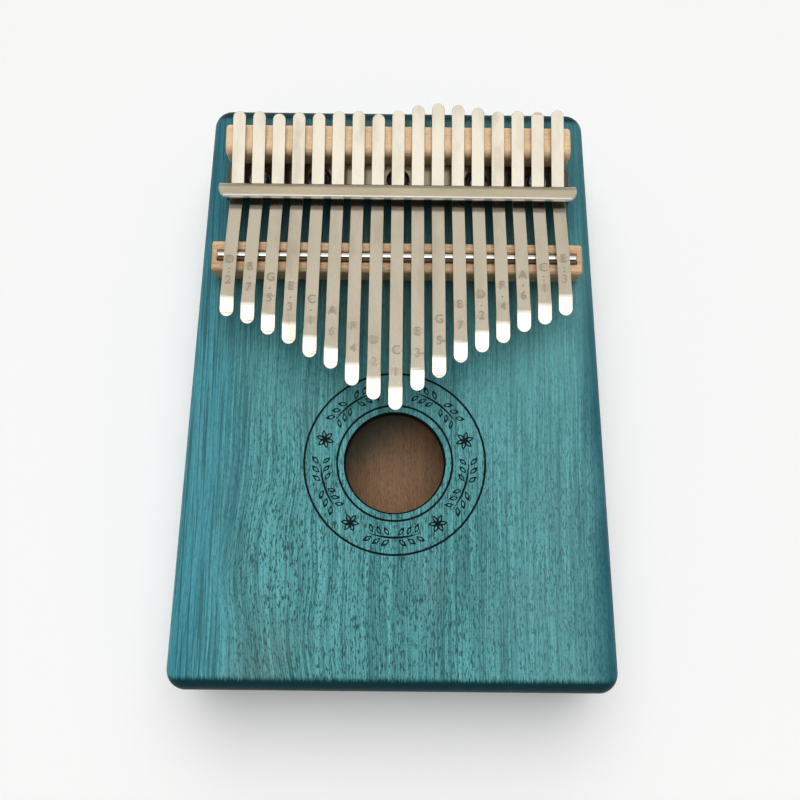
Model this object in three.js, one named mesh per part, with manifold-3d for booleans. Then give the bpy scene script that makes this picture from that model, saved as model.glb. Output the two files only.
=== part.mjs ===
// A mbira with seventeen tines: a hollow wooden box, and steel tines clamped across two bridges on its deck.
// Millimetres. X runs across the box, +Y towards the head, where the tines are clamped, and +Z up.
// The origin lies under the middle of the box, on the surface that its back rests on.

import * as THREE from 'three';
import { mergeVertices } from 'three/addons/utils/BufferGeometryUtils.js';
import Module from 'manifold-3d';

const wasm = await Module();
wasm.setup();

// Sound box
const boxLength = 185;
const footWidth = 134.5;
const boxHeight = 32;
const sideTaper = 6;
const headSideMargin = 5.85;
const headEndMargin = 10.1;
const topThickness = 5;
const backThickness = 4.5;
const wallThickness = 8;
const cornerRadius = 6;
const innerCornerRadius = 5;
const edgeRadius = 4;
const squareEdge = 0.4;
const soundHoleRadius = 15.25;
const tipOverHole = 0.85;
const fingerHoleRadius = 4.5;
const fingerHoleSpacing = 62;
const fingerHoleReach = 26;

// Brace under the deck, which the screws bite into
const braceDepth = 16;
const braceHeight = 11;
const braceEndGap = 0.3;

// Front bridge and the rod in its groove
const frontBridgeEnd = 1.95;
const frontBridgeDepth = 9.7;
const frontBridgeHeight = 8;
const frontBridgeRound = 1.2;
const rodDiameter = 3;
const rodOverhang = 3.04;
const rodEndChamfer = 0.5;
const rodGap = 0.2;

// Rear bridge
const rearBridgeOverhang = 2.34;
const rearBridgeDepth = 10.35;
const rearBridgeHeight = 8.5;
const rearBridgeRound = 2.5;
const rearBridgeGap = 0.3;
const bridgeEndRound = 0.8;

// Clamp bracket, bent from one sheet: foot, web and lip
const clampSpan = 21.95;
const bracketOverhang = 2.84;
const bracketHeight = 12;
const bracketSheet = 1.8;
const bracketBend = 1.5;
const footReach = 11.8;
const lipReach = 4.1;
const footCorner = 3;
const lipCorner = 2.4;
const slotSideGap = 0.35;
const slotBelow = 0.8;
const slotRound = 0.5;

// Screws through the bracket's foot
const screwHeadRadius = 3.8;
const screwHeadRim = 0.7;
const screwHeadHeight = 2.4;
const screwShankRadius = 1.75;
const screwLength = 14;
const screwPoint = 3;
const screwWebGap = 1.6;
const screwBoreGap = 0.25;
const recessLength = 4.2;
const recessWidth = 0.9;
const recessDepth = 1.5;
const recessFloorShare = 0.7;

// Tines
const tineThickness = 0.95;
const tineWidth = 4;
const tipWidth = 4.25;
const tipLength = 6.2;
const tipSpread = 3;
const tipBendRadius = 4;
const clampDip = 3.4;
const clampBendRadius = 12;
const longestTongue = 48.6;
const endCorrectionLength = 5;
const longestTail = 25.3;
const seatGap = 0.3;
const splitGap = 0.3;

// Angles in degrees
const fanStep = 0.12;
const tongueRise = 4;
const tipDroop = 8;

// Number of facets in the round stretches
const cornerSteps = 7;
const edgeSteps = 6;
const holeSteps = 40;
const smallHoleSteps = 20;
const roundSteps = 4;
const bendSteps = 4;
const rodSteps = 16;
const screwSteps = 16;
const domeSteps = 4;
const tipSteps = 10;
const slotSteps = 2;
const squareSides = 4;

// How far every cutting tool runs past what it cuts
const overrun = 2;

// The notes from left to right, as semitones above the lowest tine, which is the middle one
const semitoneSteps = [26, 23, 19, 16, 12, 9, 5, 2, 0, 4, 7, 11, 14, 17, 21, 24, 28];
const noteNames = [
  'D6', 'B5', 'G5', 'E5', 'C5', 'A4', 'F4', 'D4', 'C4', 'E4', 'G4', 'B4', 'D5', 'F5', 'A5', 'C6', 'E6',
];
const octaveSteps = 12;

// Lengths of the strips that the maker cuts, from the middle tine outwards, as shares of the longest
const stockShares = [1, 0.957, 0.923, 0.869, 0.827, 0.784, 0.75, 0.722, 0.698];

// How many tines out from the middle one each screw stands
const screwTineCounts = [-7, -4, 0, 4, 7];

// Heights and lines that the pieces share
const deck = boxHeight;
const rimFloor = backThickness;
const rimTop = boxHeight - topThickness;
const rodRadius = rodDiameter / 2;
const rodAxisHeight = deck + frontBridgeHeight;
const rearBridgeRear = boxLength / 2 - headEndMargin;
const rearBridgeFront = rearBridgeRear - rearBridgeDepth;
const bracketRear = rearBridgeFront - rearBridgeGap;
const webLine = bracketRear - footReach;
const saddleLine = webLine - clampSpan;
const soundHoleLine = saddleLine - longestTongue + tipOverHole - soundHoleRadius;
const fingerHoleLine = saddleLine - fingerHoleReach;
const footTop = deck + bracketSheet;
const lipTop = deck + bracketHeight;
const screwLine = webLine + bracketSheet / 2 + screwWebGap + screwHeadRadius;
const screwBoreRadius = screwShankRadius + screwBoreGap;
const rad = THREE.MathUtils.degToRad;

// Lengths across the box, and the spacing of the row of tines between its narrower end's sides
const headWidth = footWidth - 2 * sideTaper;
const bracketLength = headWidth - 2 * headSideMargin;
const rowWidth = bracketLength - 2 * bracketOverhang;
const rodLength = rowWidth + 2 * rodOverhang;
const frontBridgeLength = rodLength + 2 * frontBridgeEnd;
const rearBridgeLength = rowWidth + 2 * rearBridgeOverhang;
const middleTine = (semitoneSteps.length - 1) / 2;
const tinePitch = (rowWidth - tineWidth) / (2 * middleTine);
const longestStock = longestTongue + clampSpan + longestTail;

// Heights of a tine's middle plane over the rod, at the clamp and on the rear bridge
const saddleHeight = rodAxisHeight + rodRadius + seatGap + tineThickness / 2;
const clampHeight = saddleHeight - clampDip;
const rearRestLine = rearBridgeFront + rearBridgeRound;
const rearRestHeight = deck + rearBridgeHeight + seatGap + tineThickness / 2;

// A height above every tine
const tineCeiling = saddleHeight + longestTongue;

// Materials
const finish = (color, roughness, metalness) => (
  new THREE.MeshStandardMaterial({ color, roughness, metalness })
);
const dyedWood = finish(0x3f8f95, 0.55, 0);
const plainWood = finish(0x9a6b4c, 0.7, 0);
const bridgeWood = finish(0xd9b287, 0.6, 0);
const nickelPlate = finish(0xb8b0a0, 0.35, 1);
const springSteel = finish(0xd8d2c8, 0.3, 1);
const polishedSteel = finish(0xe6e6e6, 0.12, 1);

// A closed geometry as a solid that can be joined and cut
function solid(geometry) {
  const bare = geometry.clone();
  bare.deleteAttribute('normal');
  bare.deleteAttribute('uv');
  const merged = mergeVertices(bare);
  return new wasm.Manifold(new wasm.Mesh({
    numProp: 3,
    vertProperties: new Float32Array(merged.attributes.position.array),
    triVerts: new Uint32Array(merged.index.array),
  }));
}

// A solid back as a geometry
function shell(body) {
  const { vertProperties, triVerts } = body.getMesh();
  const geometry = new THREE.BufferGeometry();
  geometry.setAttribute('position', new THREE.BufferAttribute(vertProperties, 3));
  geometry.setIndex(new THREE.BufferAttribute(triVerts, 1));
  geometry.computeVertexNormals();
  return geometry;
}

// The box's outline, moved in by an inset, with corners of the given radius, anticlockwise from above
function boxOutline(inset, radius) {
  const lean = Math.atan2((footWidth - headWidth) / 2, boxLength);
  const keep = inset + radius;
  const reach = boxLength / 2 - keep;
  const halfWidthAt = (y) => (footWidth + headWidth) / 4 - (y * (footWidth - headWidth)) / (2 * boxLength);
  const centreX = (y) => halfWidthAt(y) - keep / Math.cos(lean);
  const right = Math.PI / 2;
  const corners = [
    { x: centreX(-reach), y: -reach, from: -right, to: lean },
    { x: centreX(reach), y: reach, from: lean, to: right },
    { x: -centreX(reach), y: reach, from: right, to: Math.PI - lean },
    { x: -centreX(-reach), y: -reach, from: Math.PI - lean, to: Math.PI + right },
  ];
  return corners.flatMap(({ x, y, from, to }) => Array.from({ length: cornerSteps + 1 }, (_, step) => {
    const turn = from + ((to - from) * step) / cornerSteps;
    return new THREE.Vector2(x + radius * Math.cos(turn), y + radius * Math.sin(turn));
  }));
}

// A solid through outlines of equal length, stacked from the lowest up
function loft(levels) {
  const count = levels[0].outline.length;
  const positions = levels.flatMap(({ outline, z }) => outline.flatMap((point) => [point.x, point.y, z]));
  const faces = [];
  for (let level = 0; level + 1 < levels.length; level += 1) {
    for (let side = 0; side < count; side += 1) {
      const a = level * count + side;
      const b = level * count + ((side + 1) % count);
      faces.push(a, b, b + count, a, b + count, a + count);
    }
  }
  const last = (levels.length - 1) * count;
  THREE.ShapeUtils.triangulateShape(levels[0].outline, []).forEach(([a, b, c]) => {
    faces.push(a, c, b, last + a, last + b, last + c);
  });
  const geometry = new THREE.BufferGeometry();
  geometry.setAttribute('position', new THREE.Float32BufferAttribute(positions, 3));
  geometry.setIndex(faces);
  return geometry;
}

// A plate of the box whose outer edge is rounded over, lying on z = 0 with the round edge on top
function roundedPlate(thickness) {
  const radius = Math.min(edgeRadius, thickness - squareEdge);
  const levels = [{ outline: boxOutline(0, cornerRadius), z: 0 }];
  for (let step = 0; step <= edgeSteps; step += 1) {
    const turn = (Math.PI / 2) * (step / edgeSteps);
    const inset = radius * (1 - Math.cos(turn));
    const z = thickness - radius * (1 - Math.sin(turn));
    levels.push({ outline: boxOutline(inset, cornerRadius - inset), z });
  }
  return loft(levels);
}

// A flat shape seen from above, standing from one height to another
function upright(shape, floor, top, steps = roundSteps) {
  const geometry = new THREE.ExtrudeGeometry(shape, {
    depth: top - floor,
    bevelEnabled: false,
    curveSegments: steps,
  });
  return geometry.translate(0, 0, floor);
}

// A side view, drawn as (y, z), carried across the box with its middle at x = 0
function crosswise(shape, width) {
  const turned = new THREE.Matrix4().makeBasis(
    new THREE.Vector3(0, 1, 0),
    new THREE.Vector3(0, 0, 1),
    new THREE.Vector3(1, 0, 0),
  );
  return upright(shape, -width / 2, width / 2).applyMatrix4(turned);
}

// A cutter for a round hole, standing at (x, y)
function drill(x, y, radius, floor, top, steps) {
  const geometry = new THREE.CylinderGeometry(radius, radius, top - floor, steps);
  geometry.rotateX(Math.PI / 2).translate(x, y, (top + floor) / 2);
  return solid(geometry);
}

// A rectangle with its own corner radius at each end, from y = near to y = far
function roundedRectangle(width, near, far, nearRadius, farRadius) {
  const half = width / 2;
  const quarter = Math.PI / 2;
  const shape = new THREE.Shape();
  shape.absarc(half - nearRadius, near + nearRadius, nearRadius, -quarter, 0);
  shape.absarc(half - farRadius, far - farRadius, farRadius, 0, quarter);
  shape.absarc(farRadius - half, far - farRadius, farRadius, quarter, Math.PI);
  shape.absarc(nearRadius - half, near + nearRadius, nearRadius, Math.PI, Math.PI + quarter);
  return shape;
}

// A line of (y, z) points with its corners bent to a radius, each point with its direction
function bentLine(points, radii) {
  const line = [];
  const add = (point, direction) => line.push({ point: point.clone(), direction: direction.clone() });
  const towards = (from, to) => to.clone().sub(from).normalize();
  add(points[0], towards(points[0], points[1]));
  for (let corner = 1; corner + 1 < points.length; corner += 1) {
    const before = towards(points[corner - 1], points[corner]);
    const after = towards(points[corner], points[corner + 1]);
    const turn = Math.atan2(before.cross(after), before.dot(after));
    const radius = radii[corner - 1];
    const start = points[corner].clone().addScaledVector(before, -radius * Math.tan(Math.abs(turn) / 2));
    const inward = new THREE.Vector2(-before.y, before.x).multiplyScalar(Math.sign(turn));
    for (let step = 0; step <= bendSteps; step += 1) {
      const angle = (turn * step) / bendSteps;
      const point = start.clone()
        .addScaledVector(before, radius * Math.sin(Math.abs(angle)))
        .addScaledVector(inward, radius * (1 - Math.cos(angle)));
      add(point, before.clone().rotateAround(new THREE.Vector2(), angle));
    }
  }
  const end = points.length - 1;
  add(points[end], towards(points[end - 1], points[end]));
  return line;
}

// The side view of a sheet or strip of even thickness that follows a bent line
function sheetOutline(points, radii, thickness) {
  const line = bentLine(points, radii);
  const beside = (side) => line.map(({ point, direction }) => (
    new THREE.Vector2(point.x - direction.y * side, point.y + direction.x * side)
  ));
  return new THREE.Shape([...beside(-thickness / 2), ...beside(thickness / 2).reverse()]);
}

// The side view of a bridge: a bar on the deck with its two top edges rounded
function bridgeSection(near, far, height, radius) {
  const top = deck + height;
  const shape = new THREE.Shape();
  shape.moveTo(near, deck);
  shape.lineTo(far, deck);
  shape.absarc(far - radius, top - radius, radius, 0, Math.PI / 2);
  shape.absarc(near + radius, top - radius, radius, Math.PI / 2, Math.PI);
  return shape;
}

// A bridge with softened upright corners
function bridge(length, near, far, height, radius) {
  const bar = solid(crosswise(bridgeSection(near, far, height, radius), length));
  const plan = roundedRectangle(length, near, far, bridgeEndRound, bridgeEndRound);
  return bar.intersect(solid(upright(plan, deck - overrun, deck + height + overrun)));
}

// The rod's form along X, or the groove for it when grown by a gap
function rodForm(gap) {
  const radius = rodRadius + gap;
  const half = rodLength / 2 + gap;
  const profile = [
    new THREE.Vector2(0, -half),
    new THREE.Vector2(radius - rodEndChamfer, -half),
    new THREE.Vector2(radius, rodEndChamfer - half),
    new THREE.Vector2(radius, half - rodEndChamfer),
    new THREE.Vector2(radius - rodEndChamfer, half),
    new THREE.Vector2(0, half),
  ];
  return new THREE.LatheGeometry(profile, rodSteps).rotateZ(-Math.PI / 2);
}

// Where a tine stands at the clamp, counted from the middle one
const tineX = (place) => place * tinePitch;
const tineTurn = (place) => rad(place * fanStep);

// A tine's place along X at a line behind or before the clamp
const tineXAt = (place, y) => tineX(place) - (y - webLine) * Math.tan(tineTurn(place));

// The free length sounds the note: the pitch of a bar falls with the square of its length
function tongueLength(place) {
  const steps = semitoneSteps[place + middleTine];
  const share = 2 ** (-steps / (2 * octaveSteps));
  return (longestTongue + endCorrectionLength) * share - endCorrectionLength;
}

const part = new THREE.Group();

function addPiece(name, geometry, material, parent = part) {
  const mesh = new THREE.Mesh(geometry, material);
  mesh.name = name;
  parent.add(mesh);
  return mesh;
}

// Cutters for the screws' bores through what lies between two heights
function screwBores(floor, top) {
  return screwTineCounts.map((place) => {
    const x = tineXAt(place, screwLine);
    return drill(x, screwLine, screwBoreRadius, floor - overrun, top + overrun, screwSteps);
  });
}

// Top plate, with the sound hole and the screws' bores
function topPlate() {
  const soundHole = drill(0, soundHoleLine, soundHoleRadius, -overrun, topThickness + overrun, holeSteps);
  const plate = solid(roundedPlate(topThickness)).subtract(soundHole);
  return screwBores(0, topThickness).reduce((cut, bore) => cut.subtract(bore), plate);
}

// Back plate, turned over so that its round edge is below, with the two finger holes
function backPlate() {
  const plate = solid(roundedPlate(backThickness).rotateY(Math.PI));
  const floor = -backThickness - overrun;
  const hole = (side) => (
    drill(side * fingerHoleSpacing / 2, fingerHoleLine, fingerHoleRadius, floor, overrun, smallHoleSteps)
  );
  return plate.subtract(hole(-1)).subtract(hole(1));
}

// Rim: the walls between the two plates, cut as one ring
function rim() {
  const ring = new THREE.Shape(boxOutline(0, cornerRadius));
  ring.holes.push(new THREE.Path(boxOutline(wallThickness, innerCornerRadius)));
  return upright(ring, rimFloor, rimTop);
}

// Brace from wall to wall under the deck, below the bracket's screws
function braceBlock() {
  const floor = rimTop - braceHeight;
  const inside = boxOutline(wallThickness + braceEndGap, innerCornerRadius);
  const slab = solid(upright(new THREE.Shape(inside), floor, rimTop));
  const bar = new THREE.BoxGeometry(footWidth, braceDepth, braceHeight + 2 * overrun);
  const block = slab.intersect(solid(bar.translate(0, screwLine, floor + braceHeight / 2)));
  return screwBores(floor, rimTop).reduce((cut, bore) => cut.subtract(bore), block);
}

// Front bridge, with the groove that the rod lies in, half its thickness deep
function frontBridge() {
  const near = saddleLine - frontBridgeDepth / 2;
  const far = saddleLine + frontBridgeDepth / 2;
  const bar = bridge(frontBridgeLength, near, far, frontBridgeHeight, frontBridgeRound);
  return bar.subtract(solid(rodForm(rodGap).translate(0, saddleLine, rodAxisHeight)));
}

// Rear bridge, just behind the bracket's foot
function rearBridge() {
  return bridge(rearBridgeLength, rearBridgeFront, rearBridgeRear, rearBridgeHeight, rearBridgeRound);
}

// Height of a tine's middle plane over the clamp line, where its bend lifts it off the corner of its line
const clampTurn = Math.atan2(clampDip, clampSpan)
  + Math.atan2(rearRestHeight - clampHeight, rearRestLine - webLine);
const tineAtWeb = clampHeight + clampBendRadius * (1 / Math.cos(clampTurn / 2) - 1);

// One slot through the web, which holds a tine down and lets it slide
function slotCutter(place) {
  const top = tineAtWeb + tineThickness / 2 + seatGap;
  const floor = tineAtWeb - tineThickness / 2 - slotBelow;
  const opening = roundedRectangle(tineWidth + 2 * slotSideGap, floor, top, slotRound, slotRound);
  const reach = bracketSheet + bracketBend;
  const geometry = upright(opening, -reach, reach, slotSteps);
  return solid(geometry.rotateX(Math.PI / 2).translate(tineX(place), webLine, 0));
}

// Clamp bracket: the bent sheet, its corners rounded in plan, its slots and its screw holes
function clampBracket() {
  const half = bracketSheet / 2;
  const line = [
    new THREE.Vector2(bracketRear, deck + half),
    new THREE.Vector2(webLine, deck + half),
    new THREE.Vector2(webLine, lipTop - half),
    new THREE.Vector2(webLine - lipReach, lipTop - half),
  ];
  const bends = [bracketBend, bracketBend];
  const sheet = solid(crosswise(sheetOutline(line, bends, bracketSheet), bracketLength));
  const plan = roundedRectangle(bracketLength, webLine - lipReach, bracketRear, lipCorner, footCorner);
  const blank = sheet.intersect(solid(upright(plan, deck - overrun, lipTop + overrun)));
  const places = Array.from(semitoneSteps, (_, index) => index - middleTine);
  const slotted = places.reduce((cut, place) => cut.subtract(slotCutter(place)), blank);
  return screwBores(deck, footTop).reduce((cut, bore) => cut.subtract(bore), slotted);
}

// One arm of a screw's cross recess, narrowing downwards
function recessArm(turn) {
  const arm = new THREE.CylinderGeometry(1, recessFloorShare, recessDepth + overrun, squareSides);
  arm.rotateY(Math.PI / 4).scale(recessLength / Math.SQRT2, 1, recessWidth / Math.SQRT2);
  arm.rotateX(Math.PI / 2).translate(0, 0, screwHeadHeight - recessDepth + (recessDepth + overrun) / 2);
  return solid(arm.rotateZ(turn));
}

// A pan-head screw with its head's underside at z = 0
function screw() {
  const domeRise = screwHeadHeight - screwHeadRim;
  const domeRadius = (screwHeadRadius ** 2 + domeRise ** 2) / (2 * domeRise);
  const domeTurn = Math.asin(screwHeadRadius / domeRadius);
  const dome = Array.from({ length: domeSteps }, (_, step) => {
    const turn = domeTurn * (1 - step / domeSteps);
    return new THREE.Vector2(
      domeRadius * Math.sin(turn),
      screwHeadHeight - domeRadius * (1 - Math.cos(turn)),
    );
  });
  const profile = [
    new THREE.Vector2(0, -screwLength),
    new THREE.Vector2(screwShankRadius, screwPoint - screwLength),
    new THREE.Vector2(screwShankRadius, 0),
    new THREE.Vector2(screwHeadRadius, 0),
    ...dome,
    new THREE.Vector2(0, screwHeadHeight),
  ];
  const body = solid(new THREE.LatheGeometry(profile, screwSteps).rotateX(Math.PI / 2));
  return body.subtract(recessArm(0)).subtract(recessArm(Math.PI / 2));
}

// The clamped root of a tine, from just behind the rod's crest to its round rear end
function tineRoot(place) {
  const stock = longestStock * stockShares[Math.abs(place)];
  const rearEnd = stock - tongueLength(place) - clampSpan;
  const slope = (rearRestHeight - clampHeight) / (rearRestLine - webLine);
  const rise = clampDip / clampSpan;
  const line = [
    new THREE.Vector2(splitGap / 2 - clampSpan, saddleHeight - (rise * splitGap) / 2),
    new THREE.Vector2(0, clampHeight),
    new THREE.Vector2(rearEnd + overrun, clampHeight + slope * (rearEnd + overrun)),
  ];
  const strip = solid(crosswise(sheetOutline(line, [clampBendRadius], tineThickness), tineWidth + overrun));
  const radius = tineWidth / 2;
  const plan = new THREE.Shape();
  plan.moveTo(-radius, -clampSpan - overrun);
  plan.lineTo(radius, -clampSpan - overrun);
  plan.absarc(0, rearEnd - radius, radius, 0, Math.PI);
  return strip.intersect(solid(upright(plan, deck, tineCeiling, tipSteps)));
}

// The speaking tongue of a tine, from the rod's crest to its bent, widened, round tip
function tineTongue(place) {
  const length = tongueLength(place);
  const straight = length - tipLength;
  const bendHeight = saddleHeight + straight * Math.tan(rad(tongueRise));
  const fall = Math.tan(rad(tipDroop));
  const line = [
    new THREE.Vector2(-splitGap / 2 - clampSpan, saddleHeight + (splitGap / 2) * Math.tan(rad(tongueRise))),
    new THREE.Vector2(-straight - clampSpan, bendHeight),
    new THREE.Vector2(-length - overrun - clampSpan, bendHeight - (tipLength + overrun) * fall),
  ];
  const strip = solid(crosswise(sheetOutline(line, [tipBendRadius], tineThickness), tipWidth + overrun));
  const radius = tipWidth / 2;
  const root = tineWidth / 2;
  const plan = new THREE.Shape();
  plan.moveTo(root, overrun - clampSpan);
  plan.lineTo(-root, overrun - clampSpan);
  plan.lineTo(-root, tipSpread - straight - clampSpan);
  plan.lineTo(-radius, -straight - clampSpan);
  plan.absarc(0, radius - length - clampSpan, radius, -Math.PI, 0);
  plan.lineTo(radius, -straight - clampSpan);
  plan.lineTo(root, tipSpread - straight - clampSpan);
  return strip.intersect(solid(upright(plan, deck, tineCeiling, tipSteps)));
}

// Sound box
addPiece('top_plate', shell(topPlate()), dyedWood).position.z = rimTop;
addPiece('side_rim', rim(), dyedWood);
addPiece('back_plate', shell(backPlate()), dyedWood).position.z = backThickness;
addPiece('brace_block', shell(braceBlock()), plainWood);

// Bridges, rod and clamp
addPiece('front_bridge', shell(frontBridge()), bridgeWood);
addPiece('rear_bridge', shell(rearBridge()), bridgeWood);
addPiece('saddle_rod', rodForm(0), polishedSteel).position.set(0, saddleLine, rodAxisHeight);
addPiece('clamp_bracket', shell(clampBracket()), nickelPlate);
screwTineCounts.forEach((place, index) => {
  const name = `clamp_screw_${index + 1}`;
  addPiece(name, shell(screw()), polishedSteel).position.set(tineXAt(place, screwLine), screwLine, footTop);
});

// Tines, each in a group that stands on the clamp line and is turned by its share of the fan
semitoneSteps.forEach((_, index) => {
  const place = index - middleTine;
  const tine = new THREE.Group();
  tine.position.set(tineX(place), webLine, 0);
  tine.rotation.z = tineTurn(place);
  part.add(tine);
  const label = `tine_${String(index + 1).padStart(2, '0')}_${noteNames[index]}`;
  addPiece(`${label}_root`, shell(tineRoot(place)), springSteel, tine);
  addPiece(`${label}_tongue`, shell(tineTongue(place)), springSteel, tine);
});

export default part;
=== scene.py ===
# %% [markdown]
# # A mbira with seventeen tines
# The object is a small thumb piano: a hollow box of dyed mahogany, with steel tines clamped over two
# wooden bridges. The CAD model has settled every size and every joint, so nothing is moved here.
# Each piece is built again at its place with the fine surface of the real one, and gets its finish.

# %% Load the frame
import math

import bmesh
import bpy
from mathutils import Matrix, Vector


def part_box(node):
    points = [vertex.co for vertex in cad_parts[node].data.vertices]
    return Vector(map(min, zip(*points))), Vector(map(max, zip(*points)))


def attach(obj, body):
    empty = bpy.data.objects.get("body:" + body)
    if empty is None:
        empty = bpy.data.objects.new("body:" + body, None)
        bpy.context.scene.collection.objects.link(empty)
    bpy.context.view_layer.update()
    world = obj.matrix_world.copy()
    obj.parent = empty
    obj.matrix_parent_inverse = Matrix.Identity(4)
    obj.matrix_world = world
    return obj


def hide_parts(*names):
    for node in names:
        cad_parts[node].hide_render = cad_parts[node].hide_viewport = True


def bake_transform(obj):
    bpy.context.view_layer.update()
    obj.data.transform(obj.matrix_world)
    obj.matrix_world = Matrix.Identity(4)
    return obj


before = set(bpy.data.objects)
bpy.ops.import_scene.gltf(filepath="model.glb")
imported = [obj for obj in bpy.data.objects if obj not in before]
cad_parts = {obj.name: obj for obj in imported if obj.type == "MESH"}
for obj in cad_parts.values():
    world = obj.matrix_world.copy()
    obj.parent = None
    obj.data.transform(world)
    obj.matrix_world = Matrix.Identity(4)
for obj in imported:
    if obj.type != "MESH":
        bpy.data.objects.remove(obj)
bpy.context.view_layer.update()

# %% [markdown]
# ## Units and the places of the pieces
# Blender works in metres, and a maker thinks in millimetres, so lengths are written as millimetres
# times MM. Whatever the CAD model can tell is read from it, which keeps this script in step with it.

MM = 0.001
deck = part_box("top_plate")[1].z
box_length = 2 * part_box("top_plate")[1].y
rod_low, rod_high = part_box("saddle_rod")
rod_axis = (rod_low + rod_high) / 2
bracket_low, bracket_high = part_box("clamp_bracket")

# %% [markdown]
# ## Camera
# The photograph was taken from almost straight above, some 23 cm over the deck, with the camera
# tipped a little towards the clamp. A point of the object and its pixel fix such a camera, and the
# values here come from matching some sixty of them.

# %% Camera
CAMERA_PLACE = Vector((0.7, -43.6, 258.8)) * MM
CAMERA_TILT = 9.53
CAMERA_YAW = -0.18
CAMERA_ROLL = 0.61
FOCAL_LENGTH = 33.3
SENSOR = 36

camera = bpy.data.objects.new("camera", bpy.data.cameras.new("camera"))
bpy.context.scene.collection.objects.link(camera)
bpy.context.scene.camera = camera
camera.data.lens = FOCAL_LENGTH
camera.data.sensor_width = SENSOR
camera.data.clip_start = 10 * MM
turned_view = (
    Matrix.Rotation(math.radians(CAMERA_YAW), 4, "Y")
    @ Matrix.Rotation(math.radians(CAMERA_TILT), 4, "X")
    @ Matrix.Rotation(math.radians(CAMERA_ROLL), 4, "Z")
)
camera.matrix_world = Matrix.Translation(CAMERA_PLACE) @ turned_view
print("camera height over the deck in mm:", round((CAMERA_PLACE.z - deck) / MM, 1))

# %% [markdown]
# ## Light
# Polished steel shows what is above it, so the lights are placed by what the tines should mirror. The
# bent tips face straight up and mirror a bright panel. The tails lean back and mirror a dimmer one
# beside it, and the tongues lean the other way and mirror the warm room over the head. The room is
# bright on the side of the head and dim on the side of the foot, as it is beside a large window.
# One soft patch of sky, tilted towards the head, gives most of the plain light and the soft shadow
# at the foot. Low down the metal mirrors a middle grey, so that the steel isn't black from the sides.

# %% Room light
FOOT_SIDE_FILL = (0.14, 0.14, 0.14, 1)
HEAD_SIDE_FILL = (0.27, 0.27, 0.27, 1)
SKY_FILL = (3.1, 3.1, 3.08, 1)
SKY_TILT = 34
SKY_EDGE = 42
SKY_HEART = 5
FOOT_SIDE_GLOSS = (0.11, 0.105, 0.10, 1)
HEAD_SIDE_GLOSS = (0.84, 0.78, 0.66, 1)
LOW_GLOSS = (0.46, 0.44, 0.40, 1)
LOW_EDGE = 0.45
HIGH_EDGE = 0.75
BACKDROP_WHITE = (1, 1, 1, 1)
DUSK_EDGE = -0.40
DAWN_EDGE = 0.40

bpy.context.scene.view_settings.view_transform = "Standard"
room = bpy.data.worlds.new("room")
bpy.context.scene.world = room
room.use_nodes = True
room_nodes = room.node_tree.nodes
room_links = room.node_tree.links


def room_mix(factor, first, second):
    """Mixes two colours of the room, each given as a value or as another node's output."""
    mix = room_nodes.new("ShaderNodeMix")
    mix.data_type = "RGBA"
    room_links.new(factor, mix.inputs["Factor"])
    for socket, value in ((mix.inputs["A"], first), (mix.inputs["B"], second)):
        if isinstance(value, tuple):
            socket.default_value = value
        else:
            room_links.new(value, socket)
    return mix.outputs["Result"]


def room_step(value, low, high):
    """A soft step of the room's light, from 0 at one value to 1 at another."""
    step = room_nodes.new("ShaderNodeMapRange")
    step.interpolation_type = "SMOOTHSTEP"
    step.inputs["From Min"].default_value = low
    step.inputs["From Max"].default_value = high
    room_links.new(value, step.inputs["Value"])
    return step.outputs["Result"]


ray = room_nodes.new("ShaderNodeLightPath")
direction = room_nodes.new("ShaderNodeTexCoord")
direction_parts = room_nodes.new("ShaderNodeSeparateXYZ")
room_links.new(direction.outputs["Generated"], direction_parts.inputs[0])
to_head = room_step(direction_parts.outputs["Y"], DUSK_EDGE, DAWN_EDGE)
sky_height = room_nodes.new("ShaderNodeVectorMath")
sky_height.operation = "DOT_PRODUCT"
sky_tilt = math.radians(SKY_TILT)
sky_height.inputs[1].default_value = (0, math.sin(sky_tilt), math.cos(sky_tilt))
room_links.new(direction.outputs["Generated"], sky_height.inputs[0])
sky_edge, sky_heart = (math.cos(math.radians(angle)) for angle in (SKY_EDGE, SKY_HEART))
in_sky = room_step(sky_height.outputs["Value"], sky_edge, sky_heart)
wall_fill = room_mix(to_head, FOOT_SIDE_FILL, HEAD_SIDE_FILL)
fill = room_mix(in_sky, wall_fill, SKY_FILL)
high_up = room_step(direction_parts.outputs["Z"], LOW_EDGE, HIGH_EDGE)
high_gloss = room_mix(to_head, FOOT_SIDE_GLOSS, HEAD_SIDE_GLOSS)
gloss = room_mix(high_up, LOW_GLOSS, high_gloss)
light_in_room = room_mix(ray.outputs["Is Glossy Ray"], fill, gloss)
seen = room_mix(ray.outputs["Is Camera Ray"], light_in_room, BACKDROP_WHITE)
room_links.new(seen, room_nodes["Background"].inputs["Color"])
print("room light at the foot and the head:", FOOT_SIDE_FILL[0], HEAD_SIDE_FILL[0])


# %% Panels
def soft_light(name, place, target, width, depth, radiance):
    lamp = bpy.data.lights.new(name, "AREA")
    lamp.shape = "RECTANGLE"
    lamp.size = width
    lamp.size_y = depth
    lamp.energy = radiance * math.pi * width * depth
    light = bpy.data.objects.new(name, lamp)
    bpy.context.scene.collection.objects.link(light)
    facing = (Vector(target) - Vector(place)).to_track_quat("-Z", "Y")
    light.matrix_world = Matrix.Translation(Vector(place)) @ facing.to_matrix().to_4x4()
    return light


PANEL_HEIGHT = 2.0
PANEL_WIDTH = 1.5
PANEL_EDGES = (-0.75, 0.10, 0.58)
TIP_RADIANCE = 2.0
TAIL_RADIANCE = 0.84


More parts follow.
